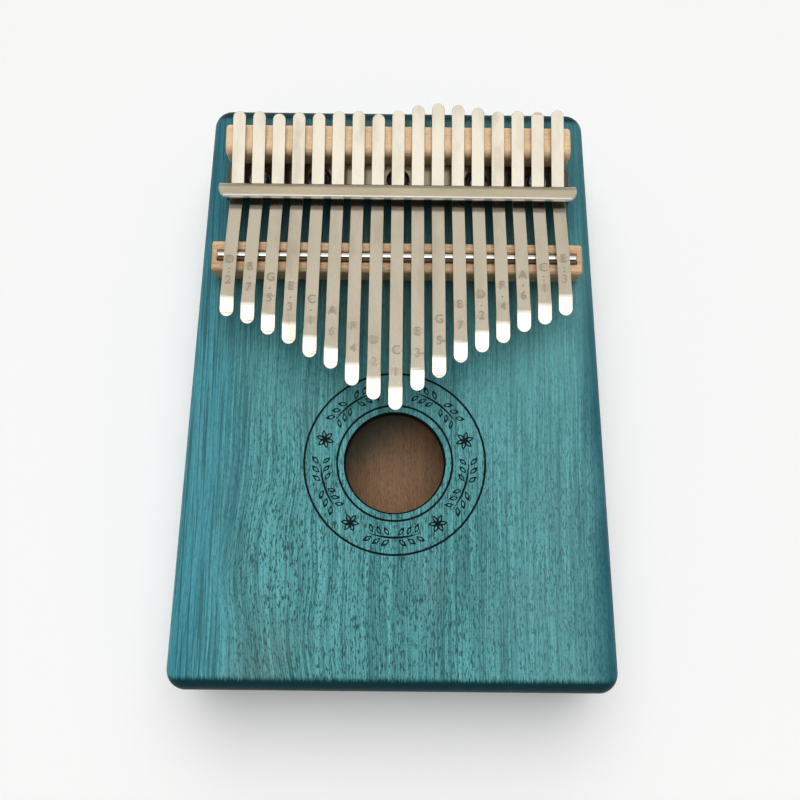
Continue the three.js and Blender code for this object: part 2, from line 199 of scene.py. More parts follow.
def panel(name, foot_edge, head_edge, radiance):
    """A level panel over the object, from one line to another."""
    middle = (foot_edge + head_edge) / 2
    return soft_light(
        name, place=(0, middle, PANEL_HEIGHT), target=(0, middle, 0),
        width=PANEL_WIDTH, depth=head_edge - foot_edge, radiance=radiance,
    )


panel("tip_panel", PANEL_EDGES[0], PANEL_EDGES[1], TIP_RADIANCE)
panel("tail_panel", PANEL_EDGES[1], PANEL_EDGES[2], TAIL_RADIANCE)
print("panels", PANEL_WIDTH, "m wide,", PANEL_HEIGHT, "m over the object")

# %% [markdown]
# ## Floor
# The object lies on a plain white sheet. One large plane is enough, with a matt material: the box
# darkens it close to its walls, and most at the foot, where it hides the patch of sky.

# %% Floor
FLOOR_HALF = 2.5
FLOOR_COLOR = (0.96, 0.96, 0.955, 1)
FLOOR_ROUGHNESS = 0.9

floor_mesh = bpy.data.meshes.new("floor")
floor_corners = [(-FLOOR_HALF, -FLOOR_HALF, 0), (FLOOR_HALF, -FLOOR_HALF, 0),
                 (FLOOR_HALF, FLOOR_HALF, 0), (-FLOOR_HALF, FLOOR_HALF, 0)]
floor_mesh.from_pydata(floor_corners, [], [(0, 1, 2, 3)])
floor = bpy.data.objects.new("floor", floor_mesh)
bpy.context.scene.collection.objects.link(floor)
floor_paint = bpy.data.materials.new("white_sheet")
floor_paint.use_nodes = True
floor_shader = floor_paint.node_tree.nodes["Principled BSDF"]
floor_shader.inputs["Base Color"].default_value = FLOOR_COLOR
floor_shader.inputs["Roughness"].default_value = FLOOR_ROUGHNESS
floor_shader.inputs["Specular IOR Level"].default_value = 0
floor_mesh.materials.append(floor_paint)
print("floor side in m:", 2 * FLOOR_HALF)

# %% [markdown]
# ## Helpers for node trees
# Shader trees and geometry trees are both made of nodes and links. A few small helpers keep the
# lessons below short. They place a node, join a value or another node's output to a socket, or do
# both at once. Two more do sums on numbers and on vectors, and the last one starts a tree of its own
# with its inputs and outputs.


# %% Node helpers
def add_node(tree, kind, **settings):
    node = tree.nodes.new(kind)
    for name, value in settings.items():
        setattr(node, name, value)
    return node


def feed(tree, socket, value):
    if isinstance(value, bpy.types.NodeSocket):
        tree.links.new(value, socket)
    else:
        socket.default_value = value


def feed_named(tree, node, wires):
    for label, value in wires.items():
        feed(tree, node.inputs[label.replace("_", " ")], value)
    return node


def wired(tree, kind, **wires):
    """Places a node and feeds the sockets that are named."""
    return feed_named(tree, add_node(tree, kind), wires)


def maths(tree, operation, *values, clamp=False):
    node = add_node(tree, "ShaderNodeMath", operation=operation, use_clamp=clamp)
    for socket, value in zip(node.inputs, values):
        feed(tree, socket, value)
    return node.outputs[0]


def vector_maths(tree, operation, *values):
    node = add_node(tree, "ShaderNodeVectorMath", operation=operation)
    for socket, value in zip(node.inputs, values):
        feed(tree, socket, value)
    return node.outputs[0]


def group_tree(name, kind, inputs, outputs):
    tree = bpy.data.node_groups.new(name, kind)
    for label, socket_kind in inputs:
        tree.interface.new_socket(name=label, in_out="INPUT", socket_type=socket_kind)
    for label, socket_kind in outputs:
        tree.interface.new_socket(name=label, in_out="OUTPUT", socket_type=socket_kind)
    return tree, add_node(tree, "NodeGroupInput"), add_node(tree, "NodeGroupOutput")


COLOR = "NodeSocketColor"
NUMBER = "NodeSocketFloat"
VECTOR = "NodeSocketVector"
GEOMETRY = "NodeSocketGeometry"
WHOLE = "NodeSocketInt"
MATERIAL = "NodeSocketMaterial"
print("node helpers ready")

# %% [markdown]
# ## Wood grain
# Mahogany and the pale bridge wood have the same build: long fine streaks along the grain, wider
# bands of growth, and short open pores that hold the dye. One shader group draws all three from
# noise that is stretched along the grain. A material gives it the colours and how strong each is.


# %% Shared shader parts
def noise(tree, vector, scale, detail=2.0, rough=0.5):
    node = add_node(tree, "ShaderNodeTexNoise", noise_dimensions="3D")
    feed(tree, node.inputs["Vector"], vector)
    node.inputs["Scale"].default_value = scale
    node.inputs["Detail"].default_value = detail
    node.inputs["Roughness"].default_value = rough
    return node.outputs["Fac"]


def spread(tree, value, low, high):
    node = add_node(tree, "ShaderNodeMapRange", clamp=True, interpolation_type="SMOOTHSTEP")
    feed(tree, node.inputs["Value"], value)
    feed(tree, node.inputs["From Min"], low)
    feed(tree, node.inputs["From Max"], high)
    return node.outputs["Result"]


def blend_colors(tree, factor, first, second):
    node = add_node(tree, "ShaderNodeMix", data_type="RGBA")
    feed(tree, node.inputs["Factor"], factor)
    feed(tree, node.inputs[6], first)
    feed(tree, node.inputs[7], second)
    return node.outputs[2]


def grain_noise(tree, vector, across, along, detail=2.0, rough=0.5):
    """A noise stretched along the grain, from how often it changes across it and along it in a mm."""
    stretched = vector_maths(tree, "MULTIPLY", vector, (across, along, across))
    return noise(tree, stretched, 1.0, detail, rough)


# %% Wood figure group
HAIR_ACROSS, HAIR_ALONG = 2.4, 0.03
BAND_ACROSS, BAND_ALONG = 0.50, 0.012
CLOUD_ACROSS, CLOUD_ALONG = 0.09, 0.012
PORE_ACROSS, PORE_ALONG = 2.8, 0.58
FINE_PORE_ACROSS, FINE_PORE_ALONG = 4.0, 1.0
HAIR_SHARE, BAND_SHARE, CLOUD_SHARE = 0.55, 0.27, 0.18
PORE_OPENS = (0.53, 0.66)
FINE_PORE_OPENS = (0.56, 0.70)
FINE_PORE_SHARE = 0.7
PORE_ROUGHNESS = 0.18
LACQUER_ROUGHNESS = 0.42
HAIR_RELIEF = 0.35


def wood_figure_group():
    tree, given, out = group_tree(
        "wood_figure",
        "ShaderNodeTree",
        [("Vector", VECTOR), ("Dark", COLOR), ("Light", COLOR), ("Pore", COLOR),
         ("Pore Amount", NUMBER), ("Streak Amount", NUMBER)],
        [("Color", COLOR), ("Roughness", NUMBER), ("Height", NUMBER)],
    )
    place = given.outputs["Vector"]
    hairs = grain_noise(tree, place, HAIR_ACROSS, HAIR_ALONG, detail=3, rough=0.65)
    bands = grain_noise(tree, place, BAND_ACROSS, BAND_ALONG, detail=3, rough=0.55)
    clouds = grain_noise(tree, place, CLOUD_ACROSS, CLOUD_ALONG, detail=2)
    streaks = maths(tree, "MULTIPLY_ADD", hairs, HAIR_SHARE, maths(tree, "MULTIPLY", bands, BAND_SHARE))
    figure = maths(tree, "MULTIPLY_ADD", clouds, CLOUD_SHARE, streaks)
    centred = maths(tree, "SUBTRACT", figure, 0.5)
    tone = maths(tree, "MULTIPLY_ADD", centred, given.outputs["Streak Amount"], 0.5, clamp=True)
    color = blend_colors(tree, tone, given.outputs["Dark"], given.outputs["Light"])
    long_pores = grain_noise(tree, place, PORE_ACROSS, PORE_ALONG, detail=1.5)
    short_pores = grain_noise(tree, place, FINE_PORE_ACROSS, FINE_PORE_ALONG, detail=1.0)
    open_long = spread(tree, long_pores, *PORE_OPENS)
    open_short = maths(tree, "MULTIPLY", spread(tree, short_pores, *FINE_PORE_OPENS), FINE_PORE_SHARE)
    pores = maths(tree, "MAXIMUM", open_long, open_short)
    pore_mask = maths(tree, "MULTIPLY", pores, given.outputs["Pore Amount"])
    feed(tree, out.inputs["Color"], blend_colors(tree, pore_mask, color, given.outputs["Pore"]))
    rough = maths(tree, "MULTIPLY_ADD", pores, PORE_ROUGHNESS, LACQUER_ROUGHNESS)
    feed(tree, out.inputs["Roughness"], rough)
    raised = maths(tree, "MULTIPLY", hairs, HAIR_RELIEF)
    feed(tree, out.inputs["Height"], maths(tree, "SUBTRACT", raised, pores))
    return tree


wood_figure = wood_figure_group()
print("wood figure nodes:", len(wood_figure.nodes))


# %% Edge wear and reflection group
EDGE_PATCH_SCALE = 0.6


def edge_wear_and_reflection_group():
    tree, given, out = group_tree(
        "edge_wear_and_reflection",
        "ShaderNodeTree",
        [("Vector", VECTOR), ("Low", NUMBER), ("High", NUMBER), ("Patchiness", NUMBER)],
        [("Mask", NUMBER)],
    )
    # The mask lays wear on most metals, and a painted dark reflection on the tines' edges.
    geometry = add_node(tree, "ShaderNodeNewGeometry")
    edge = add_node(tree, "ShaderNodeMapRange", clamp=True)
    feed(tree, edge.inputs["Value"], geometry.outputs["Pointiness"])
    feed(tree, edge.inputs["From Min"], given.outputs["Low"])
    feed(tree, edge.inputs["From Max"], given.outputs["High"])
    patches = noise(tree, given.outputs["Vector"], EDGE_PATCH_SCALE, detail=3)
    centred = maths(tree, "SUBTRACT", patches, 0.5)
    uneven = maths(tree, "MULTIPLY_ADD", centred, given.outputs["Patchiness"], 1.0)
    feed(tree, out.inputs["Mask"], maths(tree, "MULTIPLY", edge.outputs["Result"], uneven, clamp=True))
    return tree


edge_wear_and_reflection = edge_wear_and_reflection_group()
print("edge wear nodes:", len(edge_wear_and_reflection.nodes))


# %% Material helpers
def new_material(name):
    paint = bpy.data.materials.new(name)
    paint.use_nodes = True
    return paint, paint.node_tree, paint.node_tree.nodes["Principled BSDF"]


def painted_so_far(paint):
    """The nodes of a finished paint, its colour as it is, and the place on the piece."""
    tree = paint.node_tree
    shader = tree.nodes["Principled BSDF"]
    split = add_node(tree, "ShaderNodeSeparateXYZ")
    feed(tree, split.inputs[0], place_in_mm(tree))
    return tree, shader, shader.inputs["Base Color"].links[0].from_socket, split.outputs


def place_in_mm(tree, grain="Y"):
    coordinates = add_node(tree, "ShaderNodeTexCoord")
    mapping = add_node(tree, "ShaderNodeMapping")
    mapping.inputs["Scale"].default_value = (1 / MM, 1 / MM, 1 / MM)
    if grain == "X":
        mapping.inputs["Rotation"].default_value = (0, 0, math.pi / 2)
    feed(tree, mapping.inputs["Vector"], coordinates.outputs["Object"])
    return mapping.outputs["Vector"]


def use_group(tree, group, **values):
    return feed_named(tree, add_node(tree, "ShaderNodeGroup", node_tree=group), values)


def relief(tree, shader, height, distance):
    bump = add_node(tree, "ShaderNodeBump")
    bump.inputs["Strength"].default_value = 1
    bump.inputs["Distance"].default_value = distance
    feed(tree, bump.inputs["Height"], height)
    feed(tree, shader.inputs["Normal"], bump.outputs["Normal"])


print("material helpers ready")

# %% [markdown]
# ## Dyed mahogany
# The box is stained teal. The stain sits unevenly: bluer down the left side, with dark hairlines, and
# deeper along the right edge and towards the head. A few patches let the brown of the wood through.
# The end grain drinks the stain, so the rounded ends of the deck are almost black, and the end walls
# below them are dark. One picture of wood couldn't follow all that. Each of these is a mask here,
# made from the place on the box in millimetres, and lays one colour over the figure of the wood. One
# more mask paints shade on the deck under the tines. A satin lacquer lies over all of it.

# %% Colours of the dye
TEAL_DARK = (0.020, 0.135, 0.150, 1)
TEAL_LIGHT = (0.136, 0.468, 0.490, 1)
TEAL_PORE = (0.022, 0.062, 0.060, 1)
TEAL_BLUE = (0.030, 0.265, 0.365, 1)
TEAL_PALE = (0.160, 0.430, 0.450, 1)
# painted shade on the deck under the tines, not a colour of the dye
SHADE_UNDER_TINES = (0.026, 0.038, 0.033, 1)
TEAL_DEEP = (0.004, 0.075, 0.110, 1)
END_GRAIN = (0.001, 0.034, 0.042, 1)
END_WALL = (0.012, 0.105, 0.125, 1)
BARE_BROWN = (0.120, 0.150, 0.125, 1)
print("lightest teal:", TEAL_LIGHT[:3])


# %% Swaying grain
SWAY_SIZE = 0.018
SWAY_EVERYWHERE = 3
SWAY_LOWER_LEFT = 16
KNOT_ALONG = (10, -60)
KNOT_ACROSS = (10, -45)


def swaying_grain(tree, place):
    """Bends the grain sideways, most of all in the corner where the plank had a knot beside it."""
    split = add_node(tree, "ShaderNodeSeparateXYZ")
    feed(tree, split.inputs[0], place)
    x, y, z = split.outputs
    corner = maths(tree, "MULTIPLY", spread(tree, y, *KNOT_ALONG), spread(tree, x, *KNOT_ACROSS))
    waves = grain_noise(tree, place, SWAY_SIZE, SWAY_SIZE, detail=1)
    sway = maths(tree, "SUBTRACT", waves, 0.5)
    reach = maths(tree, "MULTIPLY_ADD", corner, SWAY_LOWER_LEFT, SWAY_EVERYWHERE)
    bent = wired(tree, "ShaderNodeCombineXYZ", X=maths(tree, "MULTIPLY_ADD", sway, reach, x), Y=y, Z=z)
    return bent.outputs[0], x, y, z


print("the grain sways to each side by up to mm:", (SWAY_EVERYWHERE + SWAY_LOWER_LEFT) / 2)


# %% Where the dye took more or less
DRIFT_ACROSS, DRIFT_ALONG = 0.05, 0.02
DRIFT_REACH = 14
LEFT_BAND = (48, 66)
RIGHT_BAND = (62, 72)
HEAD_ZONE = (12, 74)
PALE_ZONE = (15, 42)
PATCH_ACROSS, PATCH_ALONG = 0.035, 0.02
PATCH_EDGES = (0.52, 0.78)
LINE_ACROSS, LINE_ALONG = 1.5, 0.02
LINE_EDGES = (0.50, 0.62)
PATCH_SHARE = 0.28
BLUE_SHARE = 0.45
LINE_SHARE = 0.62
PALE_SHARE = 0.22
HEAD_SHARE = 0.55
RIGHT_SHARE = 0.86


def uneven_dye(tree, color, place, x, y):
    """Blue with dark lines on the left, deep on the right and at the head, brown in patches."""
    drift = grain_noise(tree, place, DRIFT_ACROSS, DRIFT_ALONG)
    drift = maths(tree, "MULTIPLY", drift, DRIFT_REACH)
    left = spread(tree, maths(tree, "MULTIPLY_ADD", x, -1, drift), *LEFT_BAND)
    right = spread(tree, maths(tree, "ADD", x, drift), *RIGHT_BAND)
    head = spread(tree, maths(tree, "ADD", y, drift), *HEAD_ZONE)
    patches = grain_noise(tree, place, PATCH_ACROSS, PATCH_ALONG, detail=3)
    patches = maths(tree, "MULTIPLY", spread(tree, patches, *PATCH_EDGES), PATCH_SHARE)
    color = blend_colors(tree, patches, color, BARE_BROWN)
    color = blend_colors(tree, maths(tree, "MULTIPLY", left, BLUE_SHARE), color, TEAL_BLUE)
    lines = grain_noise(tree, place, LINE_ACROSS, LINE_ALONG, detail=2)
    lines = maths(tree, "MULTIPLY", left, spread(tree, lines, *LINE_EDGES))
    color = blend_colors(tree, maths(tree, "MULTIPLY", lines, LINE_SHARE), color, TEAL_PORE)
    pale = maths(tree, "MULTIPLY", spread(tree, x, *PALE_ZONE), PALE_SHARE)
    color = blend_colors(tree, pale, color, TEAL_PALE)
    head_share = maths(tree, "MULTIPLY", head, HEAD_SHARE)
    right_share = maths(tree, "MULTIPLY", right, RIGHT_SHARE)
    left_over = maths(tree, "SUBTRACT", 1, head_share)
    deep = maths(tree, "MULTIPLY_ADD", right_share, left_over, head_share)
    return blend_colors(tree, deep, color, TEAL_DEEP)


print("dye drifts by up to mm:", DRIFT_REACH)


# %% Painted shade under the tines, and end grain
FAN_SLOPE = -0.55
SHADE_ALONG = (-6, 16)
SHADE_ACROSS = (56, 50)
SHADE_SHARE = 0.42
EDGE_ROUND = 4 * MM
FIBRE_ACROSS, FIBRE_ALONG = 2.6, 0.12
FIBRE_REACH = 2.4
SOAK_START = 0.9
SOAK_FULL = 0.8
WALL_LINE = 5
ROUND_LINE = 2


def painted_shade_under_tines(tree, color, x, y):
    """Painted shade on the deck under the tines, where they keep the light off the wood."""
    aside = maths(tree, "ABSOLUTE", x)
    fan = maths(tree, "MULTIPLY_ADD", aside, FAN_SLOPE, y)
    below = spread(tree, fan, *SHADE_ALONG)
    shaded_under = maths(tree, "MULTIPLY", below, spread(tree, aside, *SHADE_ACROSS))
    return blend_colors(tree, maths(tree, "MULTIPLY", shaded_under, SHADE_SHARE), color, SHADE_UNDER_TINES)


def soaked_ends(tree, color, place, y, z):
    """The end grain, with a ragged edge where the fibres turn over."""
    fibres = grain_noise(tree, place, FIBRE_ACROSS, FIBRE_ALONG, detail=3)
    ragged = maths(tree, "MULTIPLY", maths(tree, "SUBTRACT", fibres, 0.5), FIBRE_REACH)
    distance = maths(tree, "ADD", maths(tree, "ABSOLUTE", y), ragged)
    end_line = (box_length / 2 - EDGE_ROUND) / MM
    deck_line = deck / MM
    up_the_round = spread(tree, z, deck_line - WALL_LINE, deck_line - ROUND_LINE)
    soaked = blend_colors(tree, up_the_round, END_WALL, END_GRAIN)
    at_end = spread(tree, distance, end_line - SOAK_START, end_line + SOAK_FULL)
    return blend_colors(tree, at_end, color, soaked)


print("end grain begins in mm:", round((box_length / 2 - EDGE_ROUND) / MM, 1))


# %% Dyed mahogany
FIELD_ALONG = (20, -45)
FIELD_ACROSS = (-58, -38)
FIELD_PORES = 0.52
LEAST_PORES = 0.36
DYED_STREAKS = 4.3
PORE_DEPTH = 0.06 * MM
SATIN = 0.15


def dyed_mahogany_material():
    paint, tree, shader = new_material("dyed_mahogany")
    place = place_in_mm(tree)
    grain, x, y, z = swaying_grain(tree, place)
    open_field = maths(tree, "MULTIPLY", spread(tree, y, *FIELD_ALONG), spread(tree, x, *FIELD_ACROSS))
    figure = use_group(
        tree, wood_figure, Vector=grain, Dark=TEAL_DARK, Light=TEAL_LIGHT, Pore=TEAL_PORE,
        Pore_Amount=maths(tree, "MULTIPLY_ADD", open_field, FIELD_PORES, LEAST_PORES),
        Streak_Amount=DYED_STREAKS,
    )
    color = uneven_dye(tree, figure.outputs["Color"], place, x, y)
    # painted shade under the tines
    color = painted_shade_under_tines(tree, color, x, y)
    color = soaked_ends(tree, color, place, y, z)
    feed(tree, shader.inputs["Base Color"], color)
    feed(tree, shader.inputs["Roughness"], figure.outputs["Roughness"])
    shader.inputs["Specular IOR Level"].default_value = SATIN
    relief(tree, shader, figure.outputs["Height"], PORE_DEPTH)
    return paint


dyed_mahogany = dyed_mahogany_material()
print("material:", dyed_mahogany.name)

# %% [markdown]
# ## Bare woods
# The brace and all that faces the inside of the box are plain mahogany, and the bridges are a pale
# close-grained wood, laid with its grain across the box. They use the same figure with other colours.
# Inside the box the wood is painted darker and greener towards the head and to one side, behind the
# sound hole: partly dye that blew in through the hole, partly painted shade deep under the deck. The
# lines on the deck are burnt, and charred wood is nearly black and quite dull.

# %% Plain mahogany and bridge wood
BROWN_DARK = (0.21, 0.110, 0.050, 1)
BROWN_LIGHT = (0.49, 0.260, 0.115, 1)
BROWN_PORE = (0.07, 0.035, 0.02, 1)
PEACH_DARK = (0.46, 0.25, 0.11, 1)
PEACH_LIGHT = (0.86, 0.60, 0.36, 1)
PEACH_PORE = (0.22, 0.09, 0.035, 1)
PALE_DARK = (0.74, 0.46, 0.25, 1)
PALE_LIGHT = (0.96, 0.70, 0.43, 1)
BARE_PORE_DEPTH = 0.05 * MM
PLANED = 0.35


def wood_material(name, grain, colors, pore_amount, streaks):
    paint, tree, shader = new_material(name)
    dark, light, pore = colors
    figure = use_group(
        tree, wood_figure, Vector=place_in_mm(tree, grain), Dark=dark, Light=light, Pore=pore,
        Pore_Amount=pore_amount, Streak_Amount=streaks,
    )
    feed(tree, shader.inputs["Base Color"], figure.outputs["Color"])
    feed(tree, shader.inputs["Roughness"], figure.outputs["Roughness"])
    shader.inputs["Specular IOR Level"].default_value = PLANED
    relief(tree, shader, figure.outputs["Height"], BARE_PORE_DEPTH)
    return paint


plain_mahogany = wood_material(
    "plain_mahogany", "Y", (BROWN_DARK, BROWN_LIGHT, BROWN_PORE), pore_amount=0.28, streaks=2.0
)
bridge_wood = wood_material(
    "bridge_wood", "X", (PEACH_DARK, PEACH_LIGHT, PEACH_PORE), pore_amount=0.42, streaks=2.7
)
pale_bridge_wood = wood_material(
    "pale_bridge_wood", "X", (PALE_DARK, PALE_LIGHT, PEACH_DARK), pore_amount=0.25, streaks=1.4
)
print("bare woods:", plain_mahogany.name, bridge_wood.name, pale_bridge_wood.name)


# %% Dye stain and painted shade inside the box
# partly dye, partly painted shade deep under the deck
STAIN_AND_SHADE = (0.09, 0.105, 0.07, 1)
STAIN_AND_SHADE_DIRECTION = (-0.6, 0.8)
STAIN_AND_SHADE_EDGES = (-18, -3)
STAIN_AND_SHADE_SHARE = 0.85


def stain_and_painted_shade(paint):
    """Lays a dye stain with painted shade, towards the head and to one side, over a bare wood."""
    tree, shader, clean, (x, y, _) = painted_so_far(paint)
    to_head = maths(tree, "MULTIPLY", y, STAIN_AND_SHADE_DIRECTION[1])
    to_one_side = maths(tree, "MULTIPLY_ADD", x, STAIN_AND_SHADE_DIRECTION[0], to_head)
    stain_and_shade = maths(tree, "MULTIPLY", spread(tree, to_one_side, *STAIN_AND_SHADE_EDGES), STAIN_AND_SHADE_SHARE)
    feed(tree, shader.inputs["Base Color"], blend_colors(tree, stain_and_shade, clean, STAIN_AND_SHADE))


# dye stain and painted shade on the wood inside the box
stain_and_painted_shade(plain_mahogany)
print("mist reaches over mm:", STAIN_AND_SHADE_EDGES[1] - STAIN_AND_SHADE_EDGES[0])


# %% Burnt lines
BURNT = (0.006, 0.009, 0.009, 1)
SOOT_ACROSS, SOOT_ALONG = 1.5, 0.4
SOOT_EDGES = (0.60, 0.95)
CHAR_ROUGHNESS = 0.75
CHAR_ROUGHNESS_SPREAD = 0.2
CHAR_GLOSS = 0.1


def burnt_wood_material():
    paint, tree, shader = new_material("burnt_wood")
    soot = grain_noise(tree, place_in_mm(tree), SOOT_ACROSS, SOOT_ALONG, detail=3)
    color = blend_colors(tree, spread(tree, soot, *SOOT_EDGES), BURNT, TEAL_PORE)
    rough = maths(tree, "MULTIPLY_ADD", soot, CHAR_ROUGHNESS_SPREAD, CHAR_ROUGHNESS)
    feed(tree, shader.inputs["Base Color"], color)
    feed(tree, shader.inputs["Roughness"], rough)
    shader.inputs["Specular IOR Level"].default_value = CHAR_GLOSS
    return paint


burnt_wood = burnt_wood_material()
print("material:", burnt_wood.name)

# %% [markdown]
# ## Brushed and polished metal
# The tines and the bracket are brushed along their length, so their scratches are thousands of fine
# lines that blur a reflection sideways. A noise stretched along the brushing moves the roughness, the
# colour and a very slight relief. A broad noise lays the tarnish, and each tine has its own share of
# it, because some were handled more than others. Edges are another colour: rubbed bright on the
# plated bracket, and on the tines painted dark, a painted reflection of the dark sides around them.

# %% Brushed metal group
BRUSH_ACROSS, BRUSH_ALONG = 9.0, 0.10
STAIN_ACROSS, STAIN_ALONG = 0.16, 0.05
STAIN_EDGES = (0.42, 0.72)
BRUSH_SHADE = 0.34
BRUSH_DARKEST = 0.83
BRUSH_BLUR = 0.14
STAIN_BLUR = 0.05


def brushed_group():
    tree, given, out = group_tree(
        "brushed_metal",
        "ShaderNodeTree",
        [("Vector", VECTOR), ("Color", COLOR), ("Tarnish", COLOR), ("Tarnish Amount", NUMBER),
         ("Gloss", NUMBER)],
        [("Color", COLOR), ("Roughness", NUMBER), ("Height", NUMBER)],
    )
    place = given.outputs["Vector"]
    lines = grain_noise(tree, place, BRUSH_ACROSS, BRUSH_ALONG, detail=3, rough=0.65)
    cloud = grain_noise(tree, place, STAIN_ACROSS, STAIN_ALONG, detail=3)
    stain = maths(tree, "MULTIPLY", spread(tree, cloud, *STAIN_EDGES), given.outputs["Tarnish Amount"])
    color = blend_colors(tree, stain, given.outputs["Color"], given.outputs["Tarnish"])
    shade = maths(tree, "MULTIPLY_ADD", lines, BRUSH_SHADE, BRUSH_DARKEST)
    brushed = vector_maths(tree, "SCALE", color)
    feed(tree, brushed.node.inputs["Scale"], shade)
    feed(tree, out.inputs["Color"], brushed)
    centred = maths(tree, "SUBTRACT", lines, 0.5)
    rough = maths(tree, "MULTIPLY_ADD", centred, BRUSH_BLUR, given.outputs["Gloss"])
    feed(tree, out.inputs["Roughness"], maths(tree, "MULTIPLY_ADD", stain, STAIN_BLUR, rough, clamp=True))
    feed(tree, out.inputs["Height"], lines)
    return tree


brushed_metal = brushed_group()
print("brushed metal nodes:", len(brushed_metal.nodes))

# %% Metal colours
STEEL = (0.62, 0.59, 0.53, 1)
STEEL_TARNISH = (0.50, 0.46, 0.39, 1)
NICKEL = (0.57, 0.52, 0.42, 1)
NICKEL_TARNISH = (0.46, 0.42, 0.34, 1)
RUBBED = (0.80, 0.76, 0.68, 1)
POLISHED = (0.80, 0.80, 0.80, 1)
SCREW = (0.085, 0.10, 0.13, 1)
STAMPED = (0.37, 0.33, 0.28, 1)
# painted dark reflection on the tines' edges
TINE_EDGE_REFLECTION = (0.40, 0.36, 0.29, 1)
# painted shade on the rod below its top
ROD_SHADE = (0.24, 0.18, 0.13, 1)
# painted highlight along the bracket's front edge
FRONT_EDGE_HIGHLIGHT = (0.97, 0.94, 0.87, 1)
# painted shade on the bracket's foot
FOOT_SHADE = (0.05, 0.045, 0.035, 1)
print("steel and its tarnish:", STEEL[:3], STEEL_TARNISH[:3])


# %% Metals
BRUSHED_DEPTH = 0.004 * MM
TURNED_DEPTH = 0.002 * MM
POLISHED_DEPTH = 0.001 * MM
PIECE_TARNISH = 0.8
EDGE_POINTINESS = (0.52, 0.60)
EDGE_PATCHINESS = 0.8


def metal_material(name, grain, colors, tarnished, gloss, scratch_depth, own_tarnish=False):
    """A metal from three colours: clean, tarnished, and the colour laid on its edges: wear on most metals, a
    painted dark reflection on the tines.
    """
    paint, tree, shader = new_material(name)
    place = place_in_mm(tree, grain)
    clean, tarnish, edge_color = colors
    if own_tarnish:
        own = add_node(tree, "ShaderNodeAttribute", attribute_name="tarnish")
        tarnished = maths(tree, "MULTIPLY_ADD", own.outputs["Fac"], PIECE_TARNISH, tarnished)
    brushed = use_group(
        tree, brushed_metal, Vector=place, Color=clean, Tarnish=tarnish,
        Tarnish_Amount=tarnished, Gloss=gloss,
    )
    edge_mask = use_group(
        tree, edge_wear_and_reflection, Vector=place, Low=EDGE_POINTINESS[0], High=EDGE_POINTINESS[1], Patchiness=EDGE_PATCHINESS
    )
    bright = blend_colors(tree, edge_mask.outputs["Mask"], brushed.outputs["Color"], edge_color)
    feed(tree, shader.inputs["Base Color"], bright)
    feed(tree, shader.inputs["Roughness"], brushed.outputs["Roughness"])
    shader.inputs["Metallic"].default_value = 1.0
    relief(tree, shader, brushed.outputs["Height"], scratch_depth)
    return paint


# the tines' edge colour is a painted dark reflection
tine_steel = metal_material(
    "tine_steel", "Y", (STEEL, STEEL_TARNISH, TINE_EDGE_REFLECTION),
    tarnished=0.4, gloss=0.17, scratch_depth=BRUSHED_DEPTH, own_tarnish=True,
)
stamped_steel = metal_material(
    "stamped_steel", "Y", (STAMPED, STEEL_TARNISH, RUBBED),
    tarnished=0.5, gloss=0.28, scratch_depth=BRUSHED_DEPTH,
)
nickel_plate = metal_material(
    "nickel_plate", "X", (NICKEL, NICKEL_TARNISH, RUBBED),
    tarnished=0.7, gloss=0.22, scratch_depth=BRUSHED_DEPTH,
)
polished_rod = metal_material(
    "polished_rod", "X", (POLISHED, SCREW, POLISHED),
    tarnished=0.2, gloss=0.08, scratch_depth=POLISHED_DEPTH,
)
screw_steel = metal_material(
    "screw_steel", "X", (SCREW, NICKEL_TARNISH, POLISHED),
    tarnished=0.3, gloss=0.16, scratch_depth=TURNED_DEPTH,
)
print("metals:", tine_steel.name, nickel_plate.name, polished_rod.name, screw_steel.name)

# %% [markdown]
# ### Painted shade and a painted highlight on the metals
# The rod is painted dark below its top, as painted shade where the tines and the bridge hide it. The
# bracket's foot is painted dark too, more towards its ends, as painted shade under the tines, and a
# thin painted highlight runs along its front edge. Heights and distances on the piece say where, so
# all three are masks laid over the finished metals.


# %% Painted shade and highlight on the metals
# painted shade on the rod below its bright top
ROD_BRIGHT_SHARE = 0.90
ROD_BRIGHT_SOFT = 0.06 * MM
# a painted highlight along the bracket's front edge
HIGHLIGHT_WIDTH = 0.6
HIGHLIGHT_SHARE = 0.85
# painted shade on the bracket's foot
FOOT_TOP = (2.6, 2.0)
FOOT_OUTWARD = (12, 30)
FOOT_SHADE_MIDDLE = 0.35
FOOT_SHADE_MORE = 0.55


def paint_shade_below(paint, line, soft, painted_shade):
    """Paints a metal darker below a height, as painted shade."""
    tree, shader, bright, spots = painted_so_far(paint)
    low_down = spread(tree, spots["Z"], (line + soft) / MM, (line - soft) / MM)
    feed(tree, shader.inputs["Base Color"], blend_colors(tree, low_down, bright, painted_shade))


